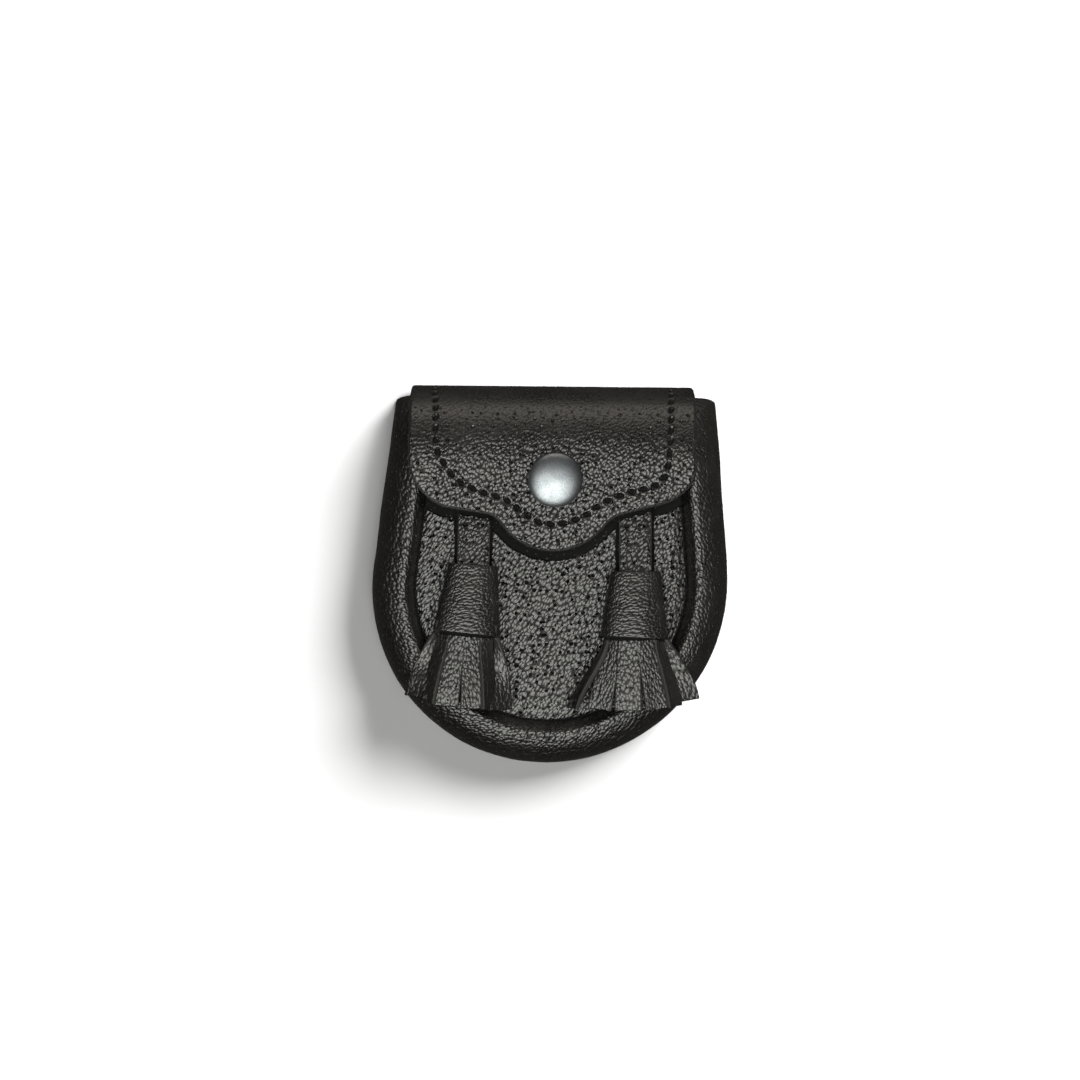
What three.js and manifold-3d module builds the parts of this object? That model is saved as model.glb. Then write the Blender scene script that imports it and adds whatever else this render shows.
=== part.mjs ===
// A small sporran: a leather belt pouch with a rolled gusset, a snap-down flap and two leather tassels.
// It lies on its back. Millimetres, +Z up out of the front face, +Y towards the fold at the top of the pouch.
// The origin is on the floor, at the middle of the pouch's length and width.
import * as THREE from "three";
import { mergeVertices } from "three/addons/utils/BufferGeometryUtils.js";
import Module from "manifold-3d";

const wasm = await Module();
wasm.setup();

// Driving sizes of the body
const BODY_WIDTH = 99; // across the widest part of the back panel
const BODY_LENGTH = 105; // from the fold at the top to the foot of the back panel
const BODY_DEPTH = 24; // from the back face to the crest of the rolled gusset
const SIDE_TAPER_DEG = 5.7; // how far each side leans in towards the mouth
const ROLL_WIDTH = 11.7; // from the outline in to the seam round the front panel
const PANEL_RECESS = 4.5; // how far the front panel lies below the crest of the roll
const SHEET_THICKNESS = 2.2; // back panel and flap
const GUSSET_THICKNESS = 1.5;
const PANEL_THICKNESS = 1.6;
const BACK_FLANGE = 5; // the gusset's turned-in edge on the back panel
const FRONT_FLANGE = 4; // the gusset's turned-in edge under the front panel
const GAP = 0.3; // clearance between pieces that touch
const SEAM_GAP = 0.4; // clearance between the front panel and the edge turned in under it

// Driving sizes of the flap, which goes on from the back panel over the mouth
const FLAP_WIDTH = 78;
const FLAP_TIP = 46.3; // from the fold down to the tip
const FLAP_SHOULDER = 30.8; // from the fold down to where the shoulders' lines would reach the sides
const SHOULDER_SLOPE_DEG = 14.5; // how far each shoulder slopes down towards the tip
const CORNER_RADIUS = 12.5;
const SCOOP_RADIUS = 8; // hollow curve between shoulder and tip
const TIP_RADIUS = 17.8;
const FOLD_HEIGHT = 6; // height of the outermost line of the fold
const BACK_BEND = 3.4; // length over which the back turns up into the fold
const FRONT_BEND = 22.5; // length over which the fold runs out into the flat of the flap
const FLAP_DIP = 0.6; // how far the snap pulls the flap's middle down
const MOUTH_DROP = 3.4; // from the fold down to the gusset's top ends
const LIP_DROP = 8.5; // from the fold down to the front panel's top edge
const LEAN = 0.025; // how far the soft body leans to the right as it lies, as a share of the way up

// Driving sizes of the snap fastener
const SNAP_DROP = 26.7; // from the fold down to its centre
const CAP_DIAMETER = 15;
const CAP_RISE = 3;
const CAP_RIM = 0.6;
const SOCKET_DIAMETER = 12;
const STUD_DIAMETER = 6;
const POST_DIAMETER = 3.6;
const RIVET_DIAMETER = 10;
const RIVET_THICKNESS = 0.6;
const POST_CLEARANCE = 0.3;

// Driving sizes of the tassels
const STRAP_WIDTH = 9;
const STRAP_THICKNESS = 1.5;
const STRAP_SPREAD = 44; // between the middles of the two straps
const STRAP_TOP_DROP = 23; // from the fold down to the straps' hidden top ends
const STRAP_INSERT = 5; // how far a strap reaches into its sleeve
const SLEEVE_DROP = 50; // from the fold down to the sleeves
const SLEEVE_LENGTH = 18.6;
const SLEEVE_TOP_WIDTH = 13.8;
const SLEEVE_TOP_HEIGHT = 7.4;
const SLEEVE_MOUTH_WIDTH = 18.8;
const SLEEVE_MOUTH_HEIGHT = 10.4;
const SLEEVE_WALL = 1.2;
const FRINGE_LENGTH = 19.8; // below the sleeve
const THONG_THICKNESS = 1.3;
const HEAD_OVERLAP = 3; // how far up the sleeve the thongs start
const HEAD_SINK = 0.2; // how far the thongs' outer faces lie inside the head's
const THONG_START_WIDTH = 0.8; // width of a thong at the sleeve's mouth, as a share of its width at the end
const THONG_GAP = 0.4; // clearance between a thong and what it lies on
const DRAPE_START = 1.6; // how far in from the outline a thong starts to climb the roll, in widths of the roll
const DRAPE_CREST = 0.88; // how far in it reaches the crest's height, in widths of the roll
const DRAPE_FALL = 0.035; // how much it hangs down beyond the crest, per square millimetre

// Mesh fineness
const BACK_COLUMNS = 8;
const PANEL_COLUMNS = 6;
const BEND_STEPS = 6;
const ARC_STEPS = 24;
const SNAP_SIDES = 24;
const SLEEVE_SIDES = 20;
const THONG_STEPS = 8;

// The roll's section, from the edge on the back panel, round the outside and over the crest to the seam.
// across is a share of ROLL_WIDTH, in from the outline; up is a share of the way from seat to crest.
const ROLL_SECTION = [
  { across: 0.15, up: 0.0 },
  { across: 0.07, up: 0.03 },
  { across: 0.02, up: 0.13 },
  { across: 0.0, up: 0.28 },
  { across: 0.02, up: 0.47 },
  { across: 0.09, up: 0.67 },
  { across: 0.21, up: 0.84 },
  { across: 0.38, up: 0.955 },
  { across: 0.56, up: 1.0 },
  { across: 0.71, up: 0.99 },
  { across: 0.84, up: 0.94 },
  { across: 0.94, up: 0.86 },
  { across: 1.0, up: 0.77 },
];

// Each tassel: side is -1 at the left and 1 at the right, lean turns it outwards in degrees, shift moves it
// outwards as a share of STRAP_WIDTH, and the rest are shares of the sizes that all the tassels have.
const TASSELS = [
  { name: "left", side: -1, lean: 3.8, shift: -0.03, drop: 1.0, length: 1.02, width: 0.99 },
  { name: "right", side: 1, lean: 0.5, shift: 0.11, drop: 1.03, length: 0.98, width: 1.0 },
];

// The thongs of a tassel: around is where each leaves the sleeve's mouth (degrees, 90 is the front and 0 the
// right), out is how far to the right of the axis it ends, lift is its end's height over what it lies on, reach
// is its length below the sleeve and turn is how far its end tips to the left, in degrees. out and width are
// shares of SLEEVE_MOUTH_WIDTH, lift of SLEEVE_MOUTH_HEIGHT and reach of FRINGE_LENGTH.
const THONGS = {
  left: [
    { around: 188, out: -0.64, lift: 0.04, width: 0.42, reach: 0.93, turn: 34 },
    { around: 148, out: -0.46, lift: 0.2, width: 0.3, reach: 1.0, turn: 48 },
    { around: 112, out: -0.2, lift: 0.36, width: 0.39, reach: 1.02, turn: 6 },
    { around: 76, out: 0.18, lift: 0.38, width: 0.36, reach: 1.03, turn: -5 },
    { around: 42, out: 0.43, lift: 0.2, width: 0.3, reach: 1.02, turn: -48 },
    { around: -4, out: 0.6, lift: 0.06, width: 0.42, reach: 1.02, turn: -34 },
    { around: -60, out: 0.22, lift: 0.04, width: 0.4, reach: 0.98, turn: 0 },
    { around: -120, out: -0.2, lift: 0.04, width: 0.4, reach: 0.98, turn: 0 },
  ],
  right: [
    { around: 178, out: -0.84, lift: 0.1, width: 0.26, reach: 0.99, turn: 58 },
    { around: 142, out: -0.47, lift: 0.22, width: 0.38, reach: 1.0, turn: 16 },
    { around: 102, out: -0.07, lift: 0.36, width: 0.42, reach: 1.01, turn: 4 },
    { around: 62, out: 0.37, lift: 0.32, width: 0.42, reach: 0.99, turn: -10 },
    { around: 22, out: 0.6, lift: 0.16, width: 0.3, reach: 0.95, turn: -42 },
    { around: -12, out: 0.8, lift: 0.03, width: 0.4, reach: 0.88, turn: -16 },
    { around: -60, out: 0.3, lift: 0.04, width: 0.4, reach: 0.98, turn: 0 },
    { around: -120, out: -0.2, lift: 0.04, width: 0.4, reach: 0.98, turn: 0 },
  ],
};

// Places worked out from the driving sizes
const TOP = BODY_LENGTH / 2;
const RADIUS = BODY_WIDTH / 2;
const ARC_Y = RADIUS - BODY_LENGTH / 2; // centre of the round foot
const TAPER = THREE.MathUtils.degToRad(SIDE_TAPER_DEG);
const SLOPE = THREE.MathUtils.degToRad(SHOULDER_SLOPE_DEG);
const SEAT = SHEET_THICKNESS + GAP; // where the gusset sits on the back panel
const FLAP_FACE = BODY_DEPTH + GAP + SHEET_THICKNESS; // outer face of the flap where it lies flat
const GUSSET_TOP = TOP - MOUTH_DROP;
const LIP_Y = TOP - LIP_DROP;
const SNAP_Y = TOP - SNAP_DROP;

const degrees = THREE.MathUtils.degToRad;
const lerp = THREE.MathUtils.lerp;
const smooth = (t) => THREE.MathUtils.smoothstep(t, 0, 1);

// Half the width at y of the pouch's outline, moved in by inset.
function halfWidth(y, inset = 0) {
  const r = RADIUS - inset;
  const up = y - ARC_Y;
  if (up > r * Math.sin(TAPER)) return (r - up * Math.sin(TAPER)) / Math.cos(TAPER);
  return Math.sqrt(Math.max(r * r - up * up, 0));
}

// How far a point of the plan lies in from the outline.
function depthInside(x, y) {
  const up = y - ARC_Y;
  const side = Math.abs(x) * Math.cos(TAPER) + up * Math.sin(TAPER);
  const onArc = Math.atan2(up, Math.abs(x)) < TAPER;
  return RADIUS - (onArc ? Math.hypot(x, up) : side);
}

// Half the flap's width at y: side, round corner, shoulder, scoop and round tip.
function flapHalfWidth(y) {
  const { corner, cornerEndY, scoop, scoopStartY, meetY, tipY } = flapCurves();
  if (y >= corner.y) return FLAP_WIDTH / 2;
  if (y >= cornerEndY) return corner.x + Math.sqrt(CORNER_RADIUS ** 2 - (corner.y - y) ** 2);
  if (y >= scoopStartY) return FLAP_WIDTH / 2 - (TOP - FLAP_SHOULDER - y) / Math.tan(SLOPE);
  if (y >= meetY) return scoop.x - Math.sqrt(Math.max(SCOOP_RADIUS ** 2 - (y - scoop.y) ** 2, 0));
  return Math.sqrt(Math.max(TIP_RADIUS ** 2 - (y - tipY) ** 2, 0));
}

// Centres of corner, scoop and tip, and the heights where the curves and the shoulder's straight line meet.
// The shoulder's line starts at the flap's side, at FLAP_SHOULDER, and runs down towards the tip.
function flapCurves() {
  const [c, s] = [Math.cos(SLOPE), Math.sin(SLOPE)];
  const startY = TOP - FLAP_SHOULDER;
  const tipY = TOP - FLAP_TIP + TIP_RADIUS;
  const corner = { x: FLAP_WIDTH / 2 - CORNER_RADIUS, y: startY + (CORNER_RADIUS * (1 - s)) / c };
  // The scoop's centre lies below the line, where its circle also touches the tip's
  const from = { x: FLAP_WIDTH / 2 + s * SCOOP_RADIUS, y: startY - c * SCOOP_RADIUS - tipY };
  const half = from.x * c + from.y * s;
  const rest = from.x ** 2 + from.y ** 2 - (TIP_RADIUS + SCOOP_RADIUS) ** 2;
  const along = half - Math.sqrt(half ** 2 - rest);
  const scoop = { x: from.x - c * along, y: from.y - s * along + tipY };
  const share = TIP_RADIUS / (TIP_RADIUS + SCOOP_RADIUS);
  return {
    corner,
    cornerEndY: corner.y - CORNER_RADIUS * c,
    scoop,
    scoopStartY: scoop.y + SCOOP_RADIUS * c,
    meetY: lerp(tipY, scoop.y, share),
    tipY,
  };
}

// The side view of the back panel and flap: stations of the outer face with the way that it faces.
function sheetProfile() {
  const stations = [];
  const station = (y, z, ny, nz) => {
    const size = Math.hypot(ny, nz);
    stations.push({ y, z, ny: ny / size, nz: nz / size });
  };
  // The back, from the foot to the bend
  const bendY = TOP - BACK_BEND;
  for (let i = 0; i <= ARC_STEPS / 2; i++) {
    const angle = (i / (ARC_STEPS / 2)) * (Math.PI / 2 + TAPER);
    station(ARC_Y - RADIUS * Math.cos(angle), 0, 0, -1);
  }
  const taperY = ARC_Y + RADIUS * Math.sin(TAPER);
  for (const share of [0.35, 0.7, 1]) station(lerp(taperY, bendY, share), 0, 0, -1);
  // The bend at the back and the long curve at the front of the fold
  for (let i = 1; i <= BEND_STEPS; i++) {
    const a = (i / BEND_STEPS) * (Math.PI / 2);
    station(
      bendY + BACK_BEND * Math.sin(a), FOLD_HEIGHT * (1 - Math.cos(a)),
      FOLD_HEIGHT * Math.sin(a), -BACK_BEND * Math.cos(a),
    );
  }
  const rise = FLAP_FACE - FOLD_HEIGHT;
  const frontY = TOP - FRONT_BEND;
  for (let i = 1; i <= 2 * BEND_STEPS; i++) {
    const a = (i / (2 * BEND_STEPS)) * (Math.PI / 2);
    station(
      frontY + FRONT_BEND * Math.cos(a), FOLD_HEIGHT + rise * Math.sin(a),
      rise * Math.cos(a), FRONT_BEND * Math.sin(a),
    );
  }
  // The flat of the flap, with stations where its outline turns
  const { corner, scoopStartY, cornerEndY, meetY, tipY } = flapCurves();
  const flats = [];
  for (const share of [0.15, 0.33, 0.5, 0.67, 0.83, 0.94, 1]) {
    flats.push(corner.y - CORNER_RADIUS * Math.sin(share * (Math.PI / 2 - SLOPE)));
  }
  flats.push(lerp(cornerEndY, scoopStartY, 0.5), scoopStartY);
  for (const share of [0.12, 0.35, 0.65, 1]) flats.push(lerp(scoopStartY, meetY, share));
  const meetAngle = Math.acos((tipY - meetY) / TIP_RADIUS);
  for (const share of [0.75, 0.5, 0.28, 0.1]) flats.push(tipY - TIP_RADIUS * Math.cos(meetAngle * share));
  for (const y of flats) if (y < frontY) station(y, FLAP_FACE, 0, 1);
  return stations;
}

const PROFILE = sheetProfile();
// Height of the flap's underside at y, read from the profile's front half.
const UNDERSIDE = PROFILE.filter((s) => s.nz > 0 || s.z >= FOLD_HEIGHT).map((s) => ({
  y: s.y - s.ny * SHEET_THICKNESS,
  z: s.z - s.nz * SHEET_THICKNESS,
}));
function flapUnderside(y) {
  for (let i = 1; i < UNDERSIDE.length; i++) {
    const [a, b] = [UNDERSIDE[i - 1], UNDERSIDE[i]];
    if (y <= a.y && y >= b.y) return lerp(a.z, b.z, (a.y - y) / (a.y - b.y || 1));
  }
  return y > UNDERSIDE[0].y ? UNDERSIDE[0].z : FLAP_FACE - SHEET_THICKNESS;
}

// Height of the roll's crest and of the front panel's outer face at y: the flap presses both down at the mouth.
const crest = (y) => Math.min(BODY_DEPTH, flapUnderside(y) - GAP);
const panelFace = (y) => crest(y) - PANEL_RECESS;

// How far the snap pulls the flap down at a point of the plan.
function flapDip(x, y) {
  const cap = CAP_DIAMETER / 2;
  const across = 1 - smooth((Math.abs(x) - cap) / (FLAP_WIDTH / 2 - cap));
  const along = 1 - smooth((y - SNAP_Y - cap) / (TOP - FRONT_BEND / 2 - SNAP_Y - cap));
  return FLAP_DIP * across * along;
}

// The roll's outer face at a station of the outline, as points in from the outline and up from the floor.
function rollFace(station) {
  const yAt = (across) => station.y - station.ny * across;
  const face = ROLL_SECTION.map((s) => {
    const across = s.across * ROLL_WIDTH;
    return { across, up: lerp(SEAT, crest(yAt(across)), s.up) };
  });
  const flange = (across) => panelFace(yAt(across)) - PANEL_THICKNESS - SEAM_GAP;
  const turnIn = ROLL_WIDTH + GUSSET_THICKNESS / 3;
  return [
    { across: face[0].across + BACK_FLANGE, up: SEAT },
    ...face,
    { across: ROLL_WIDTH, up: flange(ROLL_WIDTH) + GUSSET_THICKNESS / 2 },
    { across: turnIn, up: flange(turnIn) },
    { across: ROLL_WIDTH + FRONT_FLANGE, up: flange(ROLL_WIDTH + FRONT_FLANGE) },
  ];
}

// Height of the underside of a thong that lies over a point of the plan: it runs up from the front panel to the
// crest of the roll without bending into the hollow between them, and hangs down a little past the crest.
function drape(x, y) {
  const inside = depthInside(x, y) / ROLL_WIDTH;
  const rise = smooth((DRAPE_START - inside) / (DRAPE_START - DRAPE_CREST));
  const past = Math.max(DRAPE_CREST / 2 - inside, 0) * ROLL_WIDTH;
  return lerp(panelFace(y), crest(y), rise) + THONG_GAP - DRAPE_FALL * past ** 2;
}

// The same points moved square to their line, to the inner side, by the wall's thickness.
function offsetLine(points, thickness) {
  return points.map((p, i) => {
    const a = points[Math.max(i - 1, 0)];
    const b = points[Math.min(i + 1, points.length - 1)];
    const size = Math.hypot(b.across - a.across, b.up - a.up);
    return {
      across: p.across + ((b.up - a.up) / size) * thickness,
      up: p.up - ((b.across - a.across) / size) * thickness,
    };
  });
}

// A manifold solid from a geometry, turned right way out.
function solidOf(geometry) {
  const bare = geometry.index ? geometry.toNonIndexed() : geometry.clone();
  bare.deleteAttribute("normal");
  bare.deleteAttribute("uv");
  const merged = mergeVertices(bare, 1e-4);
  const triVerts = new Uint32Array(merged.index.array);
  const vertProperties = merged.attributes.position.array;
  const make = () => new wasm.Manifold(new wasm.Mesh({ numProp: 3, vertProperties, triVerts }));
  const solid = make();
  if (solid.volume() > 0) return solid;
  for (let i = 0; i < triVerts.length; i += 3) {
    [triVerts[i], triVerts[i + 1]] = [triVerts[i + 1], triVerts[i]];
  }
  return make();
}

// A closed skin over rings of points with flat ends; flat is the ring as a plane outline, for the ends.
function skin(rings, flat) {
  const size = rings[0].length;
  const index = [];
  for (let i = 0; i + 1 < rings.length; i++) {
    for (let j = 0; j < size; j++) {
      const [a, b] = [i * size + j, i * size + ((j + 1) % size)];
      index.push(a, b, b + size, a, b + size, a + size);
    }
  }
  const last = (rings.length - 1) * size;
  const outline = flat.map(([x, y]) => new THREE.Vector2(x, y));
  const facing = THREE.ShapeUtils.isClockWise(outline) ? 1 : -1;
  for (const [a, b, c] of THREE.ShapeUtils.triangulateShape(outline, [])) {
    index.push(...(facing > 0 ? [a, b, c] : [a, c, b]));
    index.push(...(facing > 0 ? [last + a, last + c, last + b] : [last + a, last + b, last + c]));
  }
  return closed(rings.flat(), index);
}

// A geometry from points and triangles, with the ends' triangles turned to agree with the sides.
function closed(points, index) {
  const geometry = new THREE.BufferGeometry().setFromPoints(points.map((p) => new THREE.Vector3(...p)));
  geometry.setIndex(index);
  return geometry;
}

// A leather sheet laid in rows: each row is a run of [outer point, inner point] from one side to the other.
function layered(rows) {
  const rings = rows.map((row) => [...row.map((p) => p[0]), ...row.map((p) => p[1]).reverse()]);
  const count = rows[0].length;
  const flat = [];
  for (let i = 0; i < count; i++) flat.push([i, 1]);
  for (let i = count - 1; i >= 0; i--) flat.push([i, 0]);
  return solidOf(skin(rings, flat));
}

// A solid of revolution about Z through a point, from radii and heights that start and end on the axis.
function turned(profile, x, y) {
  const geometry = new THREE.LatheGeometry(
    profile.map(([r, z]) => new THREE.Vector2(r, z)),
    SNAP_SIDES,
  );
  geometry.rotateX(Math.PI / 2);
  geometry.translate(x, y, 0);
  return solidOf(geometry);
}

// A round hole's cutter through a sheet.
const drill = (radius, y, low, high) => turned([[0, low], [radius, low], [radius, high], [0, high]], 0, y);

// Shares from one side of a sheet to the other, in an even number of columns.
const columns = (count) => Array.from({ length: count + 1 }, (_, i) => (2 * i) / count - 1);

function backAndFlap() {
  const bendY = TOP - BACK_BEND;
  const rows = PROFILE.map((s) => {
    const onFlap = s.z > 0 || s.y > GUSSET_TOP;
    const onFront = s.nz > 0;
    let half = onFront ? flapHalfWidth(s.y) : FLAP_WIDTH / 2;
    if (!onFlap) half = Math.max(halfWidth(s.y), GAP);
    if (s.y >= bendY && s.z === 0) half = halfWidth(bendY);
    return columns(BACK_COLUMNS).map((share) => {
      const x = share * half;
      const dip = onFront ? flapDip(x, s.y) : 0;
      const outer = [x, s.y, s.z - dip];
      const inner = [x, s.y - s.ny * SHEET_THICKNESS, s.z - s.nz * SHEET_THICKNESS - dip];
      return [outer, inner];
    });
  });
  const hole = drill((POST_DIAMETER / 2) + POST_CLEARANCE, SNAP_Y, BODY_DEPTH - PANEL_RECESS, FLAP_FACE + CAP_RISE);
  return layered(rows).subtract(hole);
}

// Stations round the outline from the left top end, round the foot, to the right top end.
function outlineStations() {
  const half = [];
  const tangentY = ARC_Y + RADIUS * Math.sin(TAPER);
  for (const share of [0, 0.03, 0.07, 0.11, 0.16, 0.22, 0.29, 0.37, 0.47, 0.65, 0.83]) {
    const y = lerp(GUSSET_TOP, tangentY, share);
    half.push({ x: halfWidth(y), y, nx: Math.cos(TAPER), ny: Math.sin(TAPER) });
  }
  for (let i = 0; i <= ARC_STEPS / 2; i++) {
    const a = lerp(TAPER, -Math.PI / 2, i / (ARC_STEPS / 2));
    half.push({ x: RADIUS * Math.cos(a), y: ARC_Y + RADIUS * Math.sin(a), nx: Math.cos(a), ny: Math.sin(a) });
  }
  const mirrored = half.slice(0, -1).reverse().map((s) => ({ ...s, x: -s.x, nx: -s.nx }));
  return [...half, ...mirrored];
}

function gusset() {
  const sections = outlineStations().map((s) => {
    const face = rollFace(s);
    return { s, line: [...face, ...offsetLine(face, GUSSET_THICKNESS).reverse()] };
  });
  const rings = sections.map(({ s, line }) =>
    line.map((p) => [s.x - s.nx * p.across, s.y - s.ny * p.across, p.up]),
  );
  return solidOf(skin(rings, sections[0].line.map((p) => [p.across, p.up])));
}

function frontPanel() {
  const inset = ROLL_WIDTH + GAP;
  const ys = [];
  const r = RADIUS - inset;
  for (let i = 0; i <= ARC_STEPS / 2; i++) {
    const angle = (i / (ARC_STEPS / 2)) * (Math.PI / 2 + TAPER);
    ys.push(ARC_Y - r * Math.cos(angle));
  }
  const from = ys[ys.length - 1];
  for (const share of [0.4, 0.55, 0.65, 0.74, 0.82, 0.89, 0.95, 1]) ys.push(lerp(from, LIP_Y, share));
  const rows = ys.map((y) =>
    columns(PANEL_COLUMNS).map((share) => {
      const x = share * Math.max(halfWidth(y, inset), GAP);
      return [[x, y, panelFace(y)], [x, y, panelFace(y) - PANEL_THICKNESS]];
    }),
  );
  const hole = drill(POST_DIAMETER / 2 + POST_CLEARANCE, SNAP_Y, 0, FLAP_FACE);
  return layered(rows).subtract(hole);
}

// The snap's upper half: domed cap on the flap, post through it and socket under it.
function snapCap() {
  const face = FLAP_FACE - FLAP_DIP + GAP;
  const under = FLAP_FACE - FLAP_DIP - SHEET_THICKNESS - GAP;
  const socketFoot = lerp(under, panelFace(SNAP_Y), 0.55);
  const cap = CAP_DIAMETER / 2;
  const dome = [90, 75, 60, 45, 30, 15, 0].map((angle) => [
    cap * Math.sin(degrees(angle)),
    face + CAP_RIM + (CAP_RISE - CAP_RIM) * Math.cos(degrees(angle)),
  ]);
  const recess = STUD_DIAMETER / 2 + GAP;
  return turned(
    [
      [0, under - RIVET_THICKNESS], [recess, under - RIVET_THICKNESS], [recess, socketFoot],
      [SOCKET_DIAMETER / 2, socketFoot], [SOCKET_DIAMETER / 2, under], [POST_DIAMETER / 2, under],
      [POST_DIAMETER / 2, face], [cap, face], ...dome,
    ],
    0, SNAP_Y,
  );
}

// The snap's lower half: stud on the front panel, post through it and rivet head inside the pouch.
function snapStud() {
  const face = panelFace(SNAP_Y) + GAP;
  const under = panelFace(SNAP_Y) - PANEL_THICKNESS - GAP;
  const top = FLAP_FACE - FLAP_DIP - SHEET_THICKNESS - GAP - RIVET_THICKNESS - GAP;
  return turned(
    [
      [0, under - RIVET_THICKNESS], [RIVET_DIAMETER / 2, under - RIVET_THICKNESS], [RIVET_DIAMETER / 2, under],
      [POST_DIAMETER / 2, under], [POST_DIAMETER / 2, face], [SOCKET_DIAMETER / 2, face],
      [SOCKET_DIAMETER / 2, face + RIVET_THICKNESS], [STUD_DIAMETER / 2, face + RIVET_THICKNESS],
      [STUD_DIAMETER / 2, top], [0, top],
    ],
    0, SNAP_Y,
  );
}

// A tassel's own frame: across to the right, along down its axis from the sleeve's top, up from the panel.
function tasselFrame(tassel) {
  const angle = degrees(tassel.lean) * tassel.side;
  const startX = tassel.side * (STRAP_SPREAD / 2 + tassel.shift * STRAP_WIDTH);
  const startY = TOP - tassel.drop * SLEEVE_DROP;
  return {
    x: (across, along) => startX + across * Math.cos(angle) + along * Math.sin(angle),
    y: (across, along) => startY + across * Math.sin(angle) - along * Math.cos(angle),
  };
}

const sleeveLength = (tassel) => tassel.length * SLEEVE_LENGTH;

// Half the sleeve's width and height, and the height of its middle, at a share of its length.
function sleeveSize(tassel, share, inset = 0) {
  const high = lerp(SLEEVE_TOP_HEIGHT, SLEEVE_MOUTH_HEIGHT, share) / 2;
  return {
    wide: (tassel.width * lerp(SLEEVE_TOP_WIDTH, SLEEVE_MOUTH_WIDTH, share)) / 2 - inset,
    high: high - inset,
    middle: panelFace(tasselFrame(tassel).y(0, share * sleeveLength(tassel))) + GAP + high,
  };
}

// A ring of the sleeve: an oval, a little squarer than an ellipse.
function oval(tassel, along, inset) {
  const frame = tasselFrame(tassel);
  const { wide, high, middle } = sleeveSize(tassel, along / sleeveLength(tassel), inset);
  return Array.from({ length: SLEEVE_SIDES }, (_, i) => {
    const a = (i / SLEEVE_SIDES) * 2 * Math.PI;
    const [c, s] = [Math.cos(a), Math.sin(a)];
    const across = wide * Math.sign(c) * Math.abs(c) ** 0.85;
    return [frame.x(across, along), frame.y(across, along), middle + high * Math.sign(s) * Math.abs(s) ** 0.85];
  });
}

const ovalFlat = Array.from({ length: SLEEVE_SIDES }, (_, i) => {
  const a = (i / SLEEVE_SIDES) * 2 * Math.PI;
  return [Math.cos(a), Math.sin(a)];
});

function sleeve(tassel) {
  const length = sleeveLength(tassel);
  const stops = [0, 0.25, 0.5, 0.75, 1].map((share) => share * length);
  const outer = solidOf(skin(stops.map((along) => oval(tassel, along, 0)), ovalFlat));
  const past = [-1, ...stops.slice(1, -1), length + 1];
  const bore = solidOf(skin(past.map((along) => oval(tassel, along, SLEEVE_WALL)), ovalFlat));
  return outer.subtract(bore);
}

// A strap from under the flap, along the front panel and up into its sleeve.
function strap(tassel) {
  const frame = tasselFrame(tassel);
  const length = sleeveLength(tassel);
  const topY = TOP - STRAP_TOP_DROP;
  const sleeveY = frame.y(0, 0);
  const lie = (y, share) => panelFace(y) + GAP + sleeveSize(tassel, share).high - STRAP_THICKNESS / 2;
  const stops = [];
  for (const share of [0, 0.3, 0.55, 0.7, 0.85]) {
    const y = lerp(topY, sleeveY, share);
    const x = lerp(tassel.side * (STRAP_SPREAD / 2), frame.x(0, 0), share);
    stops.push({ x, y, z: lerp(panelFace(y) + GAP, lie(y, 0), share) });
  }
  for (const along of [0, STRAP_INSERT / 2, STRAP_INSERT]) {
    const y = frame.y(0, along);
    stops.push({ x: frame.x(0, along), y, z: lie(y, along / length) });
  }
  const rows = stops.map(({ x, y, z }) =>
    columns(2).map((share) => {
      const side = x + (share * STRAP_WIDTH) / 2;
      return [[side, y, z + STRAP_THICKNESS], [side, y, z]];
    }),
  );
  return layered(rows);
}

// One thong: it leaves the head as part of the oval, spreads, and lies on the panel and the roll.
function thong(tassel, row) {
  const frame = tasselFrame(tassel);
  const length = sleeveLength(tassel);
  const mouth = sleeveSize(tassel, 1, SLEEVE_WALL + GAP);
  const reach = THONG_THICKNESS / 2;
  const start = length - HEAD_OVERLAP;
  const full = length + row.reach * FRINGE_LENGTH;
  const leave = degrees(row.around);
  const from = (mouth.wide - reach) * Math.cos(leave);
  const fromHeight = mouth.middle + (mouth.high - reach) * Math.sin(leave);
  const fromTip = Math.atan((-mouth.high * Math.cos(leave)) / (mouth.wide * Math.sin(leave)));
  // A cut across the thong: its middle, its edges and the lowest height at which it clears what lies under it
  const cut = (along) => {
    const gone = Math.max(along - length, 0) / (full - length);
    const spread = lerp(gone, smooth(gone), 0.6);
    const across = lerp(from, row.out * SLEEVE_MOUTH_WIDTH, spread);
    const half = (row.width * SLEEVE_MOUTH_WIDTH * lerp(THONG_START_WIDTH, 1, spread)) / 2;
    const tip = lerp(fromTip, degrees(row.turn), Math.sqrt(spread));
    const edges = [-1, 0, 1].map((side) => {
      const px = across + side * half * Math.cos(tip);
      return { px, rise: side * half * Math.sin(tip), floor: drape(frame.x(px, along), frame.y(px, along)) };
    });
    return { gone, spread, tip, edges, ground: Math.max(...edges.map((e) => e.floor - e.rise)) + reach };
  };
  const endHeight = cut(full).ground + row.lift * SLEEVE_MOUTH_HEIGHT;
  const rows = [];
  for (let i = 0; i <= THONG_STEPS; i++) {
    const along = lerp(start, full, i / THONG_STEPS);
    const { gone, spread, tip, edges, ground } = cut(along);
    const height = Math.max(lerp(fromHeight, endHeight, spread), gone > 0 ? ground : 0);
    rows.push(
      edges.map(({ px, rise }) => {
        const point = (depth) => {
          const shifted = px - depth * Math.sin(tip);
          return [frame.x(shifted, along), frame.y(shifted, along), height + rise + depth * Math.cos(tip)];
        };
        return [point(reach), point(-reach)];
      }),
    );
  }
  return layered(rows);
}

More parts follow.
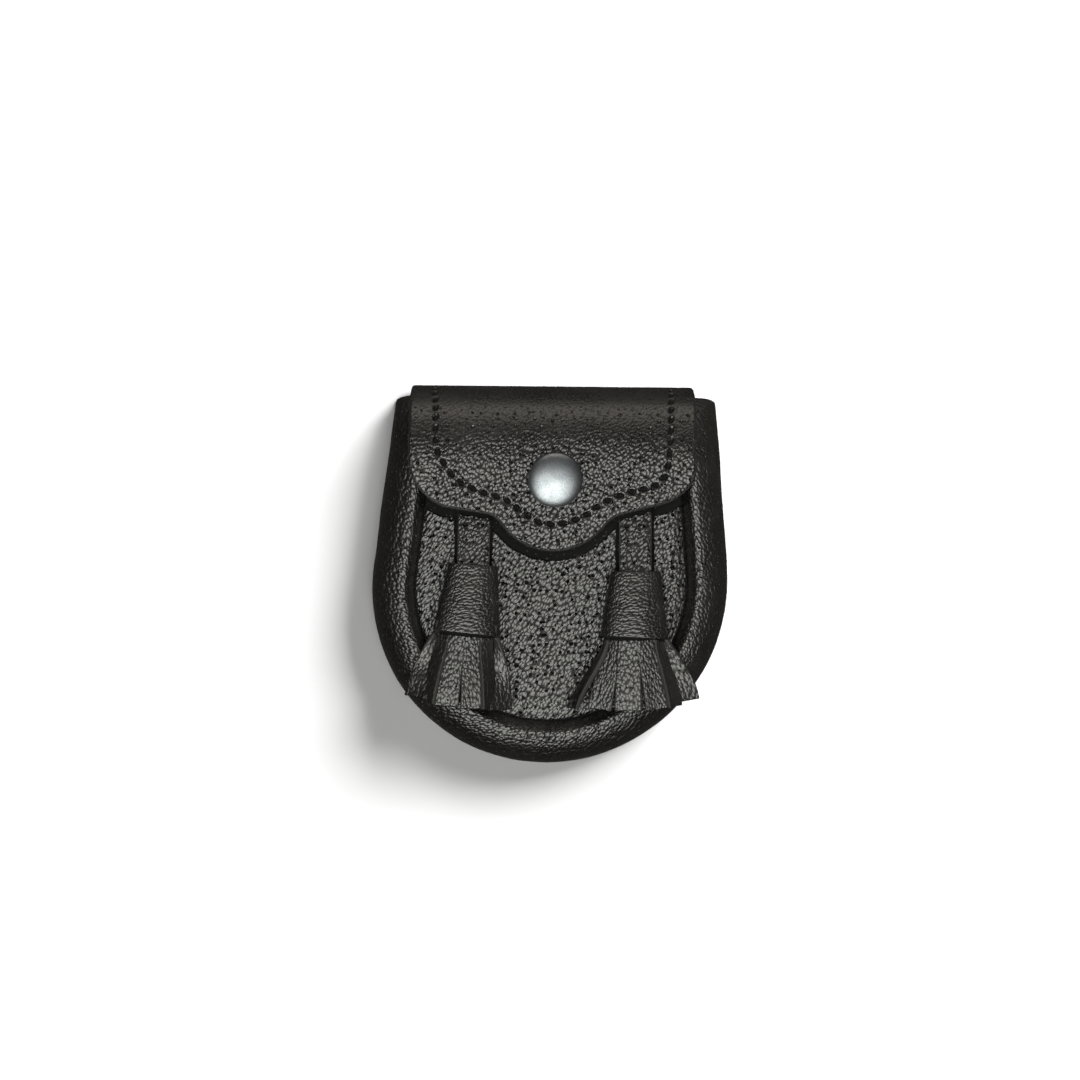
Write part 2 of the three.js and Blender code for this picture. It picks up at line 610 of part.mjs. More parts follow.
// The fringe: an oval head that fills the sleeve below the strap, with thongs cut from it.
function fringe(tassel) {
  const length = sleeveLength(tassel);
  const inset = SLEEVE_WALL + GAP;
  const rings = (stops, inward) => solidOf(skin(stops.map((along) => oval(tassel, along, inward)), ovalFlat));
  const head = rings([STRAP_INSERT + GAP, length * 0.5, length * 0.75, length + GAP / 2], inset);
  // Down to the sleeve's mouth, the thongs keep inside the head
  const room = rings([-2, length / 2, length + 1], inset + HEAD_SINK);
  const around = rings([-1, length / 2, length + GAP], -SLEEVE_MOUTH_HEIGHT).subtract(room);
  const thongs = THONGS[tassel.name].map((row) => thong(tassel, row)).reduce((all, next) => all.add(next));
  return head.add(thongs.subtract(around));
}

const LEATHER = { color: 0x1d1c1a, roughness: 0.5, metalness: 0 };
const materials = {
  pebbled: () => new THREE.MeshStandardMaterial(LEATHER),
  smooth: () => new THREE.MeshStandardMaterial({ ...LEATHER, roughness: 0.42 }),
  nickel: () => new THREE.MeshStandardMaterial({ color: 0xb4b8ba, roughness: 0.28, metalness: 1 }),
};

// A named mesh from a manifold solid, leaning as the pouch does.
function piece(name, solid, material) {
  const { numProp, vertProperties, triVerts } = solid.getMesh();
  const positions = new Float32Array((vertProperties.length / numProp) * 3);
  for (let i = 0; i < positions.length / 3; i++) {
    const [x, y, z] = vertProperties.subarray(i * numProp, i * numProp + 3);
    positions.set([x + LEAN * (y - ARC_Y), y, z], i * 3);
  }
  const geometry = new THREE.BufferGeometry();
  geometry.setAttribute("position", new THREE.BufferAttribute(positions, 3));
  geometry.setIndex(new THREE.BufferAttribute(triVerts, 1));
  geometry.computeVertexNormals();
  const mesh = new THREE.Mesh(geometry, material);
  mesh.name = name;
  return mesh;
}

const sporran = new THREE.Group();
sporran.name = "sporran";
sporran.add(
  piece("back_and_flap", backAndFlap(), materials.pebbled()),
  piece("gusset", gusset(), materials.smooth()),
  piece("front_panel", frontPanel(), materials.pebbled()),
  piece("snap_cap", snapCap(), materials.nickel()),
  piece("snap_stud", snapStud(), materials.nickel()),
);
for (const tassel of TASSELS) {
  sporran.add(
    piece(`strap_${tassel.name}`, strap(tassel), materials.pebbled()),
    piece(`sleeve_${tassel.name}`, sleeve(tassel), materials.smooth()),
    piece(`fringe_${tassel.name}`, fringe(tassel), materials.smooth()),
  );
}

export default sporran;
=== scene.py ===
"""A small black leather sporran on a pale floor: a rolled gusset, a snapped flap and two tassels."""

import math
import random

import bmesh
import bpy
import numpy as np
from mathutils import Matrix, Vector, noise
from mathutils.geometry import delaunay_2d_cdt


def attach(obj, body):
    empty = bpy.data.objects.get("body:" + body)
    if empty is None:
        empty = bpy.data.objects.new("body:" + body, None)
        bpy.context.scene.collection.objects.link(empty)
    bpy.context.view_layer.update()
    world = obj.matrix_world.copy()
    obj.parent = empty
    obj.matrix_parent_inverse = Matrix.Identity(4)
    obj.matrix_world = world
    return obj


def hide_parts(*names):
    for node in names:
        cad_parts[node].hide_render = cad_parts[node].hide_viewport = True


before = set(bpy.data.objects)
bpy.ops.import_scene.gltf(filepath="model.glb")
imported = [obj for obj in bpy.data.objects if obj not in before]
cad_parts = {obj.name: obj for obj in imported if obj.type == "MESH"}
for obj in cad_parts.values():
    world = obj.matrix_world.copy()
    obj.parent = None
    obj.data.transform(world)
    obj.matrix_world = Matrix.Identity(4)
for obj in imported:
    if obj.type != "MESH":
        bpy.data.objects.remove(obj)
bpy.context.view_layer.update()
random.seed(7)

# Sizes in millimetres, as in the part's source
BODY_WIDTH = 99
BODY_LENGTH = 105
BODY_DEPTH = 24
SIDE_TAPER = math.radians(5.7)
ROLL_WIDTH = 11.7
PANEL_RECESS = 4.5
SHEET_THICKNESS = 2.2
GUSSET_THICKNESS = 1.5
PANEL_THICKNESS = 1.6
BACK_FLANGE = 5
FRONT_FLANGE = 4
GAP = 0.3
SEAM_GAP = 0.4
FLAP_WIDTH = 78
FLAP_TIP = 46.3
FLAP_SHOULDER = 30.8
SHOULDER_SLOPE = math.radians(14.5)
CORNER_RADIUS = 12.5
SCOOP_RADIUS = 8
TIP_RADIUS = 17.8
FOLD_HEIGHT = 6
BACK_BEND = 3.4
FRONT_BEND = 22.5
FLAP_DIP = 0.6
MOUTH_DROP = 3.4
LIP_DROP = 8.5
LEAN = 0.025
SNAP_DROP = 26.7
CAP_DIAMETER = 15
CAP_RISE = 3
CAP_RIM = 0.6
STRAP_WIDTH = 9
STRAP_THICKNESS = 1.5
STRAP_SPREAD = 44
STRAP_TOP_DROP = 23
STRAP_INSERT = 5
SLEEVE_DROP = 50
SLEEVE_LENGTH = 18.6
SLEEVE_TOP_WIDTH = 13.8
SLEEVE_TOP_HEIGHT = 7.4
SLEEVE_MOUTH_WIDTH = 18.8
SLEEVE_MOUTH_HEIGHT = 10.4
SLEEVE_WALL = 1.2
FRINGE_LENGTH = 19.8
THONG_THICKNESS = 1.3
THONG_GAP = 0.4
THONG_START_WIDTH = 0.8
DRAPE_START = 1.6
DRAPE_CREST = 0.88
DRAPE_FALL = 0.035
HEAD_OVERLAP = 3

# Sizes in millimetres that only the scene has, as seen in the photo
FLAP_SHIFT = 1.1  # how far the fold lies to the left of the flap's tip
FLAP_SPLAY = 0.6  # how far each side of the flap spreads below the fold
LEFT_SHOULDER_DROP = 1.3
LEFT_DROP_START = 17  # from the middle out to where the left shoulder starts to drop
LEFT_DROP_RUN = 9
LEFT_DROP_RISE = 16  # height over which the drop fades out beside the flap
THONG_NARROWING = 0.93  # share of a thong's width that it has at its end, which leaves a slit to the next
CUT_RADIUS = {"flap": 0.7, "panel": 0.4, "strap": 0.4, "thong": 0.3}  # of the rounded cut edges
NET_SPACING = 1.1  # of the triangles that fill a sheet
STRAP_SHADE = 0.7  # width of the painted shadow line on each side of a strap
FLAP_SHADE = 2.6  # width of the painted shadow band on the panel beside the flap
FLAP_STRAP_SHADE = 1.0  # the same painted shadow on the straps
MOUTH_SHADE = 0.45  # length of the painted shadow line on the thongs under the sleeve's mouth
ROLL_END = 2.4  # length over which each top end of the roll rounds off
ROLL_END_RISE = 1.3  # how far the rounded end goes on past the solid's

# Places worked out from the sizes
MM = 0.001
UV_SCALE = 0.01  # one unit of UV for each 100 mm of leather
TOP = BODY_LENGTH / 2
RADIUS = BODY_WIDTH / 2
ARC_Y = RADIUS - BODY_LENGTH / 2
SEAT = SHEET_THICKNESS + GAP
FLAP_FACE = BODY_DEPTH + GAP + SHEET_THICKNESS
GUSSET_TOP = TOP - MOUTH_DROP
LIP_Y = TOP - LIP_DROP
SNAP_Y = TOP - SNAP_DROP
TIP_Y = TOP - FLAP_TIP

# The roll's section: across in shares of ROLL_WIDTH, up in shares of the way from seat to crest. Its crest
# lies nearer the panel than the solid's, as the photo's shine shows.
ROLL_SECTION = np.array([
    (0.15, 0.0), (0.07, 0.03), (0.02, 0.13), (0.0, 0.28), (0.02, 0.46), (0.08, 0.64), (0.19, 0.79),
    (0.35, 0.9), (0.53, 0.965), (0.7, 1.0), (0.83, 0.985), (0.94, 0.9), (1.0, 0.77),
])

# name, side, lean in degrees, shift in strap widths, and drop, length and width as shares of the common sizes
TASSELS = [
    {"name": "left", "side": -1, "lean": 3.8, "shift": -0.03, "drop": 1.0, "length": 1.02, "width": 0.99},
    {"name": "right", "side": 1, "lean": 0.5, "shift": 0.11, "drop": 1.03, "length": 0.98, "width": 1.0},
]

# around, out, lift, width, reach and turn of each thong, as in the part's source, and how much it curls
THONG_COLUMNS = ("around", "out", "lift", "width", "reach", "turn", "curl")
THONGS = {
    "left": [
        (-60, 0.22, 0.04, 0.40, 0.98, 0, 0.0),
        (-120, -0.20, 0.04, 0.40, 0.98, 0, 0.0),
        (188, -0.64, 0.04, 0.42, 0.93, 34, 0.2),
        (-4, 0.60, 0.06, 0.42, 1.02, -34, 0.2),
        (148, -0.46, 0.20, 0.30, 1.00, 48, 0.1),
        (42, 0.43, 0.20, 0.30, 1.02, -48, 0.1),
        (112, -0.20, 0.36, 0.39, 1.02, 6, 0.25),
        (76, 0.18, 0.38, 0.36, 1.03, -5, 0.25),
    ],
    "right": [
        (-60, 0.30, 0.04, 0.40, 0.98, 0, 0.0),
        (-120, -0.20, 0.04, 0.40, 0.98, 0, 0.0),
        (178, -0.84, 0.10, 0.26, 0.99, 58, 0.9),
        (-12, 0.80, 0.03, 0.40, 0.88, -16, 0.3),
        (22, 0.60, 0.16, 0.30, 0.95, -42, 0.2),
        (142, -0.47, 0.22, 0.38, 1.00, 16, 0.2),
        (62, 0.37, 0.32, 0.42, 0.99, -10, 0.25),
        (102, -0.07, 0.36, 0.42, 1.01, 4, 0.25),
    ],
}

# The flap's stitch line, from the fold on the right round the tip to the fold on the left: x and y
FLAP_STITCH_LINE = np.array([
    (32.6, 45.0), (32.5, 38.0), (32.3, 34.0), (31.5, 29.6), (29.6, 25.9), (26.3, 23.9), (22.6, 23.1),
    (18.9, 22.0), (15.2, 20.5), (12.0, 18.7), (9.0, 16.4), (5.7, 14.9), (1.8, 13.8),
    (-1.9, 13.7), (-5.0, 14.5), (-8.3, 16.7), (-11.0, 18.5), (-14.4, 20.7), (-18.3, 21.7), (-21.6, 22.9),
    (-25.5, 24.6), (-28.0, 27.1), (-29.8, 30.1), (-31.4, 33.1), (-32.2, 38.0), (-32.3, 45.0),
])
STITCH_PITCH = 3.45
STITCH_LENGTH = 2.2
STITCH_RADIUS = 0.47  # of the thread
STITCH_SLANT = math.radians(16)
STITCH_SINK = 0.6  # how deep the leather is pulled in at each stitch
BACK_STITCH_X = 33  # of the flap's stitching where it goes on down the back
BACK_STITCH_INSET = 3.2
BACK_STITCH_RUN = 24  # how far the flap's stitching goes on down the back


def lerp(a, b, t):
    return a + (b - a) * t


def smooth(t):
    t = np.clip(t, 0, 1)
    return t * t * (3 - 2 * t)


def wobble(points, size, seed=0.0):
    """Smooth noise from -1 to 1 at each point, with bumps of the given size in millimetres."""
    shift = Vector((seed, seed * 1.7, seed * 0.6))
    return np.array([noise.noise(Vector(p) / size + shift) for p in points.reshape(-1, 3)])


def noise_at(*place):
    return noise.noise(Vector(place))


def unit(vectors):
    """The rows of an array, each one unit long."""
    return vectors / np.linalg.norm(vectors, axis=1)[:, None]


def runs_along(points):
    """Distance of each point from the first one, along the line through them all."""
    return np.concatenate(([0], np.cumsum(np.linalg.norm(np.diff(points, axis=0), axis=1))))


def resampled(points, step):
    """Points at even steps along a line through the given ones."""
    runs = runs_along(points)
    count = max(int(round(runs[-1] / step)), 1)
    at = np.linspace(0, runs[-1], count + 1)
    return np.column_stack([np.interp(at, runs, points[:, i]) for i in range(points.shape[1])])


def curved(points, count):
    """A smooth curve with the given number of points, through the control points."""
    points = np.asarray(points, float)
    last = len(points) - 1
    out = []
    for t in np.linspace(0, last, count):
        i = min(int(t), last - 1)
        f = t - i
        a, b, c, d = (points[k] for k in (max(i - 1, 0), i, i + 1, min(i + 2, last)))
        out.append(0.5 * (
            2 * b + (c - a) * f + (2 * a - 5 * b + 4 * c - d) * f ** 2 + (3 * b - a - 3 * c + d) * f ** 3
        ))
    return np.array(out)


# Plan of the pouch


def half_width(y, inset=0.0):
    """Half the width at y of the pouch's outline, moved in by inset."""
    y = np.asarray(y, float)
    r = RADIUS - inset
    up = y - ARC_Y
    side = (r - up * math.sin(SIDE_TAPER)) / math.cos(SIDE_TAPER)
    arc = np.sqrt(np.maximum(r * r - up * up, 0))
    return np.where(up > r * math.sin(SIDE_TAPER), side, arc)


def depth_inside(x, y):
    """How far a point of the plan lies in from the outline."""
    up = y - ARC_Y
    side = np.abs(x) * math.cos(SIDE_TAPER) + up * math.sin(SIDE_TAPER)
    on_arc = np.arctan2(up, np.abs(x)) < SIDE_TAPER
    return RADIUS - np.where(on_arc, np.hypot(x, up), side)


def arc_points(centre, radius, start, end, count):
    angles = np.linspace(start, end, count)
    return np.column_stack((centre[0] + radius * np.cos(angles), centre[1] + radius * np.sin(angles)))


def foot_and_side(inset, top_y, arc_count, side_count):
    """The outline moved in by inset, from the middle of the foot up the right side to top_y: x and y."""
    foot = arc_points((0, ARC_Y), RADIUS - inset, -math.pi / 2, SIDE_TAPER, arc_count)
    ys = np.linspace(foot[-1, 1] + 0.5, top_y, side_count)
    return np.concatenate((foot, np.column_stack((half_width(ys, inset), ys))))


def top_corner(edge, radius, angles):
    """The round corner at the top of a right side that ends at the given place."""
    return [(edge[0] - radius * (1 - math.cos(a)), edge[1] + radius * math.sin(a)) for a in angles]


def flap_edge():
    """The flap's outline on its right half, from the round corner to the tip: x and y."""
    c, s = math.cos(SHOULDER_SLOPE), math.sin(SHOULDER_SLOPE)
    half = FLAP_WIDTH / 2
    start_y = TOP - FLAP_SHOULDER
    tip = np.array((0, TIP_Y + TIP_RADIUS))
    corner = (half - CORNER_RADIUS, start_y + CORNER_RADIUS * (1 - s) / c)
    # The scoop's circle touches the shoulder's line and the tip's circle
    away = np.array((half + s * SCOOP_RADIUS, start_y - c * SCOOP_RADIUS)) - tip
    half_way = away[0] * c + away[1] * s
    along = half_way - math.sqrt(half_way ** 2 - away @ away + (TIP_RADIUS + SCOOP_RADIUS) ** 2)
    scoop = tip + away - along * np.array((c, s))
    to_tip = math.atan2(*(tip - scoop)[::-1])
    line_angle = math.pi / 2 + SHOULDER_SLOPE
    return np.concatenate((
        arc_points(corner, CORNER_RADIUS, 0, SHOULDER_SLOPE - math.pi / 2, 36),
        arc_points(scoop, SCOOP_RADIUS, line_angle, to_tip, 20),
        arc_points(tip, TIP_RADIUS, to_tip - math.pi, -math.pi / 2, 30)[1:],
    ))


def left_edge(edge):
    """The right half's mirror image, from the tip to the corner, with its shoulder a little lower."""
    drop = LEFT_SHOULDER_DROP * smooth((edge[:, 0] - LEFT_DROP_START) / LEFT_DROP_RUN)
    drop *= 1 - smooth((edge[:, 1] - TIP_Y - TIP_RADIUS) / LEFT_DROP_RISE)
    return np.column_stack((-edge[:, 0], edge[:, 1] - drop))[::-1]


FLAP_EDGE = flap_edge()
WHOLE_EDGE = np.concatenate((FLAP_EDGE, left_edge(FLAP_EDGE)[1:]))


def beyond_flap(points):
    """How far flat points of the plan lie below the flap's edge, 0 under the flap."""
    edge = resampled(WHOLE_EDGE, 0.4)
    away = np.array([np.min(np.linalg.norm(edge - p, axis=1)) for p in points])
    order = np.argsort(edge[:, 0])
    covered = points[:, 1] > np.interp(points[:, 0], edge[order, 0], edge[order, 1])
    return np.where(covered & (np.abs(points[:, 0]) < FLAP_WIDTH / 2), 0, away)


# Side view of the back panel and flap

FOOT_RUN = 2.0  # the profile starts this far before the foot


def bend(centre_y, half_y, half_z, start, end, count):
    """Part of an ellipse whose middle lies at the fold's height: rows of y, z, ny, nz."""
    t = np.linspace(start, end, count)
    normal = unit(np.column_stack((half_z * np.cos(t), half_y * np.sin(t))))
    return np.column_stack((centre_y + half_y * np.cos(t), FOLD_HEIGHT + half_z * np.sin(t), normal))


def sheet_profile():
    """Outer face from the foot of the back, round the fold, to below the tip: rows of y, z, ny, nz."""
    bend_y, front_y = TOP - BACK_BEND, TOP - FRONT_BEND
    return np.concatenate((
        [(y, 0, 0, -1) for y in np.arange(-TOP - FOOT_RUN, bend_y, 0.5)],
        bend(bend_y, BACK_BEND, FOLD_HEIGHT, -math.pi / 2, 0, 40),
        bend(front_y, FRONT_BEND, FLAP_FACE - FOLD_HEIGHT, 0, math.pi / 2, 90)[1:],
        [(y, FLAP_FACE, 0, 1) for y in np.arange(front_y - 0.5, TIP_Y - 2, -0.5)],
    ))


PROFILE = sheet_profile()
PROFILE_RUN = runs_along(PROFILE[:, :2])
BEND_RUN = 2 * TOP + FOOT_RUN - BACK_BEND
FRONT_START = int(np.argmax(PROFILE[:, 0]))


def flap_run(y):
    """Distance along the profile of the flap's outer face at y."""
    front = slice(FRONT_START, None)
    return np.interp(-np.asarray(y, float), -PROFILE[front, 0], PROFILE_RUN[front])


def flap_underside(y):
    front = PROFILE[FRONT_START:]
    under_y = front[:, 0] - front[:, 2] * SHEET_THICKNESS
    under_z = front[:, 1] - front[:, 3] * SHEET_THICKNESS
    return np.interp(-np.asarray(y, float), -under_y, under_z)


def crest(y):
    return np.minimum(BODY_DEPTH, flap_underside(y) - GAP)


def panel_face(y):
    return crest(y) - PANEL_RECESS


def flap_dip(x, y):
    """How far the snap pulls the flap down."""
    cap = CAP_DIAMETER / 2
    across = 1 - smooth((np.abs(x) - cap) / (FLAP_WIDTH / 2 - cap))
    along = 1 - smooth((y - SNAP_Y - cap) / (TOP - FRONT_BEND / 2 - SNAP_Y - cap))
    return FLAP_DIP * across * along


# Meshes


def added(name, data):
    """A new object in the scene with the given mesh, camera or light."""
    obj = bpy.data.objects.new(name, data)
    bpy.context.scene.collection.objects.link(obj)
    return obj


def make_object(name, vertices, faces, uv, material, node, pit=None, edge=None, shadow=None):
    """A smooth object from vertices in millimetres, which rides on the body and leans with it."""
    mesh = bpy.data.meshes.new(name)
    places = np.array(vertices, float)
    places[:, 0] += LEAN * (places[:, 1] - ARC_Y)
    mesh.from_pydata((places * MM).tolist(), [], faces)
    mesh.validate()
    loops = np.empty(len(mesh.loops), np.int64)
    mesh.loops.foreach_get("vertex_index", loops)
    layer = mesh.uv_layers.new(name="leather")
    layer.data.foreach_set("uv", (np.asarray(uv)[loops] * UV_SCALE).ravel())
    for title, values in (("pit", pit), ("edge", edge), ("shadow", shadow)):
        attribute = mesh.attributes.new(title, "FLOAT", "POINT")
        values = np.zeros(len(vertices)) if values is None else np.asarray(values, float)
        attribute.data.foreach_set("value", values)
    shape = bmesh.new()
    shape.from_mesh(mesh)
    bmesh.ops.recalc_face_normals(shape, faces=shape.faces)
    shape.to_mesh(mesh)
    shape.free()
    mesh.polygons.foreach_set("use_smooth", [True] * len(mesh.polygons))
    mesh.materials.append(material)
    obj = added(name, mesh)
    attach(obj, "root")
    if node:
        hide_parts(node)


def ring_faces(rows, ring):
    """Quads over a run of rings."""
    faces = []
    for i in range(rows - 1):
        for j in range(ring):
            a = i * ring + j
            b = i * ring + (j + 1) % ring
            faces.append((a, b, b + ring, a + ring))
    return faces


def swept(rings, uv):
    """Vertices, quads and flat ends over rings of points, as arrays."""
    rows, ring = rings.shape[:2]
    faces = ring_faces(rows, ring)
    faces.append(tuple(range(ring)))
    faces.append(tuple(reversed(range((rows - 1) * ring, rows * ring))))
    return rings.reshape(-1, 3), faces, uv.reshape(-1, 2)


def inward(outline):
    """Unit normals to the inside of a closed outline that runs counter-clockwise."""
    along = np.roll(outline, -1, axis=0) - np.roll(outline, 1, axis=0)
    return unit(np.column_stack((-along[:, 1], along[:, 0])))


def inside_distance(points, outline):
    """Distance of each point to the nearest outline point, negative outside."""
    result = np.empty(len(points))
    ends = np.roll(outline, -1, axis=0)
    for k in range(0, len(points), 4000):
        chunk = points[k:k + 4000]
        near = np.min(np.linalg.norm(chunk[:, None] - outline[None], axis=2), axis=1)
        x, y = chunk[:, 0:1], chunk[:, 1:2]
        crosses = (outline[:, 1] > y) != (ends[:, 1] > y)
        rise = np.where(ends[:, 1] == outline[:, 1], 1, ends[:, 1] - outline[:, 1])
        cut = outline[:, 0] + (y - outline[:, 1]) * (ends[:, 0] - outline[:, 0]) / rise
        odd = np.sum(crosses & (x < cut), axis=1) % 2 == 1
        result[k:k + 4000] = np.where(odd, near, -near)
    return result


def filled(ring, spacing, fine_near=None):
    """Points and triangles that fill a closed ring with an even net, finer near the given points."""
    low, high = ring.min(axis=0), ring.max(axis=0)
    rows = []
    for i, y in enumerate(np.arange(low[1], high[1], spacing * 0.87)):
        shift = spacing / 2 if i % 2 else 0
        x = np.arange(low[0] + shift, high[0], spacing)
        rows.append(np.column_stack((x, np.full(len(x), y))))
    points = np.concatenate(rows)
    points = points[inside_distance(points, ring) > spacing * 0.5]
    if fine_near is not None:
        fine_near = fine_near[:, :2]
        step = 0.3
        grid = np.arange(-1.8, 1.81, step)
        offsets = np.array([(a, b) for a in grid for b in grid if math.hypot(a, b) < 1.85])
        extra = (fine_near[:, None] + offsets[None]).reshape(-1, 2)
        extra = np.unique(np.round(extra / step).astype(int), axis=0) * step
        extra = extra[inside_distance(extra, ring) > step * 0.7]
        close = np.array([np.min(np.abs(fine_near - p).sum(axis=1)) < 2.2 for p in points])
        points = np.concatenate((points[~close], extra))
    everything = np.concatenate((ring, points))
    border = [(i, (i + 1) % len(ring)) for i in range(len(ring))]
    result = delaunay_2d_cdt([Vector(p) for p in everything], border, [], 0, 1e-6, True)
    faces = np.array([[min(result[3][i]) for i in face] for face in result[2]])
    inside = inside_distance(everything[faces].mean(axis=1), ring) > 0
    return everything, faces[inside].tolist()


def edge_profile(thickness, radius, steps=4):
    """How far in and how deep the rounded edge of a sheet lies, from its outer to its inner face."""
    turns = [math.pi / 2 * i / steps for i in range(steps + 1)]
    rows = [(radius * (1 - math.sin(a)), radius * (1 - math.cos(a))) for a in turns]
    return rows + [(0.0, thickness / 2)] + [(inset, thickness - depth) for inset, depth in rows[::-1]]


def leather_sheet(
    node, outline, place, thickness, radius, material, stitches=None, fine=None, shade=None,
):
    """A cut piece of leather with rounded edges; place(points, depth) puts flat points in the pouch."""
    profile = edge_profile(thickness, radius)
    normals = inward(outline)
    rings = [outline + normals * inset for inset, _ in profile]
    flat, top_faces = filled(rings[0], NET_SPACING, stitches if fine is None else fine)
    count = len(outline)
    inner = flat[count:]
    vertices = [place(ring, depth) for ring, (_, depth) in zip(rings, profile)]
    vertices += [place(inner, 0.0), place(inner, thickness)]
    uv = np.concatenate((*rings, inner, inner))
    cut = [0.1 if depth == 0 else 0.5 if inset > radius * 0.5 else 1.0 for inset, depth in profile]
    edge = np.concatenate((np.repeat(cut, count), np.zeros(2 * len(inner))))
    faces = ring_faces(len(profile), count)
    last_ring = (len(profile) - 1) * count
    top_start = len(profile) * count
    under_start = top_start + len(inner)
    for face in top_faces:
        faces.append(tuple(i if i < count else top_start + i - count for i in face))
        faces.append(tuple(last_ring + i if i < count else under_start + i - count for i in face[::-1]))
    make_object(
        node + "_leather", np.concatenate(vertices), faces, uv, material, node,
        pit=None if stitches is None else pit_depth(uv, stitches), edge=edge,
        shadow=None if shade is None else shade(uv),
    )


# Stitches


def stitch_rows(line):
    """Stitches along a flat line: rows of x, run and the unit direction of the thread."""
    points = resampled(line, STITCH_PITCH)
    along = unit(np.gradient(points, axis=0))
    c, s = math.cos(STITCH_SLANT), math.sin(STITCH_SLANT)
    turned = np.column_stack((along[:, 0] * c - along[:, 1] * s, along[:, 0] * s + along[:, 1] * c))
    return np.column_stack((points, turned))


def flap_stitches():
    front = np.column_stack((FLAP_STITCH_LINE[:, 0], flap_run(FLAP_STITCH_LINE[:, 1])))
    back = np.array([
        (BACK_STITCH_X, BEND_RUN - BACK_STITCH_RUN), (BACK_STITCH_X, BEND_RUN),
        (BACK_STITCH_X - 0.2, flap_run(TOP - 1)),
    ])
    return stitch_rows(curved(np.concatenate((back, front, back[::-1] * (-1, 1))), 800))


def back_stitches():
    """The seam between back panel and gusset, seen on the back only."""
    line = foot_and_side(BACK_STITCH_INSET, TOP - BACK_BEND - 3.5, 90, 60)
    right = stitch_rows(line + (0, FOOT_RUN + TOP))
    left = right[right[:, 0] > 0.5] * (-1, 1, -1, 1)
    return np.concatenate((right, left))


def pit_depth(points, stitches):
    """How far the leather is pulled in at each flat point, from 0 to 1."""
    depth = np.zeros(len(points))
    for x, run, dx, dr in stitches:
        off = points - (x, run)
        near = np.abs(off).max(axis=1) < 2.5
        along = off[near, 0] * dx + off[near, 1] * dr
        across = -off[near, 0] * dr + off[near, 1] * dx
        reach = np.hypot(along / (STITCH_LENGTH * 0.72), across / (STITCH_RADIUS * 2.0))
        depth[near] = np.maximum(depth[near], smooth(1.6 * (1 - reach)))
    return depth


# Back panel and flap

BACK_CORNER = 1.4  # radius of the back panel's top corners
FLAP_WAVE = {"size": 13, "height": 0.16, "seed": 2.0}
SPLAY_START = 33.5  # from the middle out to where the flap starts to spread


def sheet_outline():
    """The flat outline of back panel and flap: x, and distance along the profile."""
    back = foot_and_side(0, TOP - BACK_BEND - 1.2, 80, 60) + (0, FOOT_RUN + TOP)
    corner = top_corner(back[-1], BACK_CORNER, np.linspace(0.2, math.pi / 2, 5))
    half = FLAP_WIDTH / 2
    step_run = corner[-1][1]
    corner += [(half + 0.9, step_run + 0.1), (half + 0.3, step_run + 0.5), (half, step_run + 1.2)]
    side = np.concatenate((back, corner))
    flap = np.column_stack((WHOLE_EDGE[:, 0], flap_run(WHOLE_EDGE[:, 1])))
    return resampled(np.concatenate((side, flap, side[::-1] * (-1, 1))), 0.7)[:-1]


def back_and_flap(material):
    stitches = np.concatenate((flap_stitches(), back_stitches()))

    def place(points, depth):
        x, run = points[:, 0], points[:, 1]
        y, z, ny, nz = (np.interp(run, PROFILE_RUN, PROFILE[:, i]) for i in range(4))
        on_front = smooth((run - flap_run(TOP - 3)) / 12)
        wave = wobble(np.column_stack((x, run, x * 0)), FLAP_WAVE["size"], FLAP_WAVE["seed"])
        deep = depth - wave * FLAP_WAVE["height"] * on_front
        if depth < SHEET_THICKNESS / 2:
            deep = deep + pit_depth(points, stitches) * STITCH_SINK
        dip = flap_dip(x, y) * (run > PROFILE_RUN[FRONT_START])
        past_bend = run - BEND_RUN
        x = x - FLAP_SHIFT * smooth(past_bend / 6) * smooth((y - SNAP_Y + 4) / 12)
        x = x + np.sign(x) * FLAP_SPLAY * smooth((np.abs(x) - SPLAY_START) / 5) * smooth(past_bend / 24)
        return np.column_stack((x, y - ny * deep, z - nz * deep - dip))

    leather_sheet(
        "back_and_flap", sheet_outline(), place, SHEET_THICKNESS, CUT_RADIUS["flap"],
        material, stitches,
    )
    return stitches, place


def thread(stitches, place, material):
    """Every stitch as a short length of waxed thread that dips into the leather at both ends."""
    at = np.linspace(-1, 1, 9)
    angles = np.arange(8) * math.pi / 4
    sink = STITCH_SINK - STITCH_RADIUS * 0.25 + 0.55 * np.abs(at) ** 3
    radius = STITCH_RADIUS * np.sqrt(np.maximum(1 - 0.55 * at ** 4, 0.2))[:, None]
    parts = []
    for x, run, dx, dr in stitches:
        half = STITCH_LENGTH / 2 * random.uniform(0.92, 1.06)
        flat = np.column_stack((x + at * half * dx, run + at * half * dr))
        face = place(flat, 0.0)
        down = unit(place(flat, SHEET_THICKNESS) - face)
        centre = face + down * (sink - STITCH_SINK * pit_depth(flat, stitches))[:, None]
        side = np.cross(unit(np.gradient(centre, axis=0)), down)
        rings = np.stack([
            centre + radius * (side * math.cos(a) - down * math.sin(a) * 0.8) for a in angles
        ], axis=1)
        uv = np.stack(np.broadcast_arrays(x + radius * angles, run + at[:, None] * half), axis=2)
        parts.append((*swept(rings, uv), np.zeros(rings[..., 0].size)))
    vertices, faces, uv, _ = joined(parts, (0, 0))
    make_object("stitching", vertices, faces, uv, material, None)


# Gusset: the roll round the foot and the sides

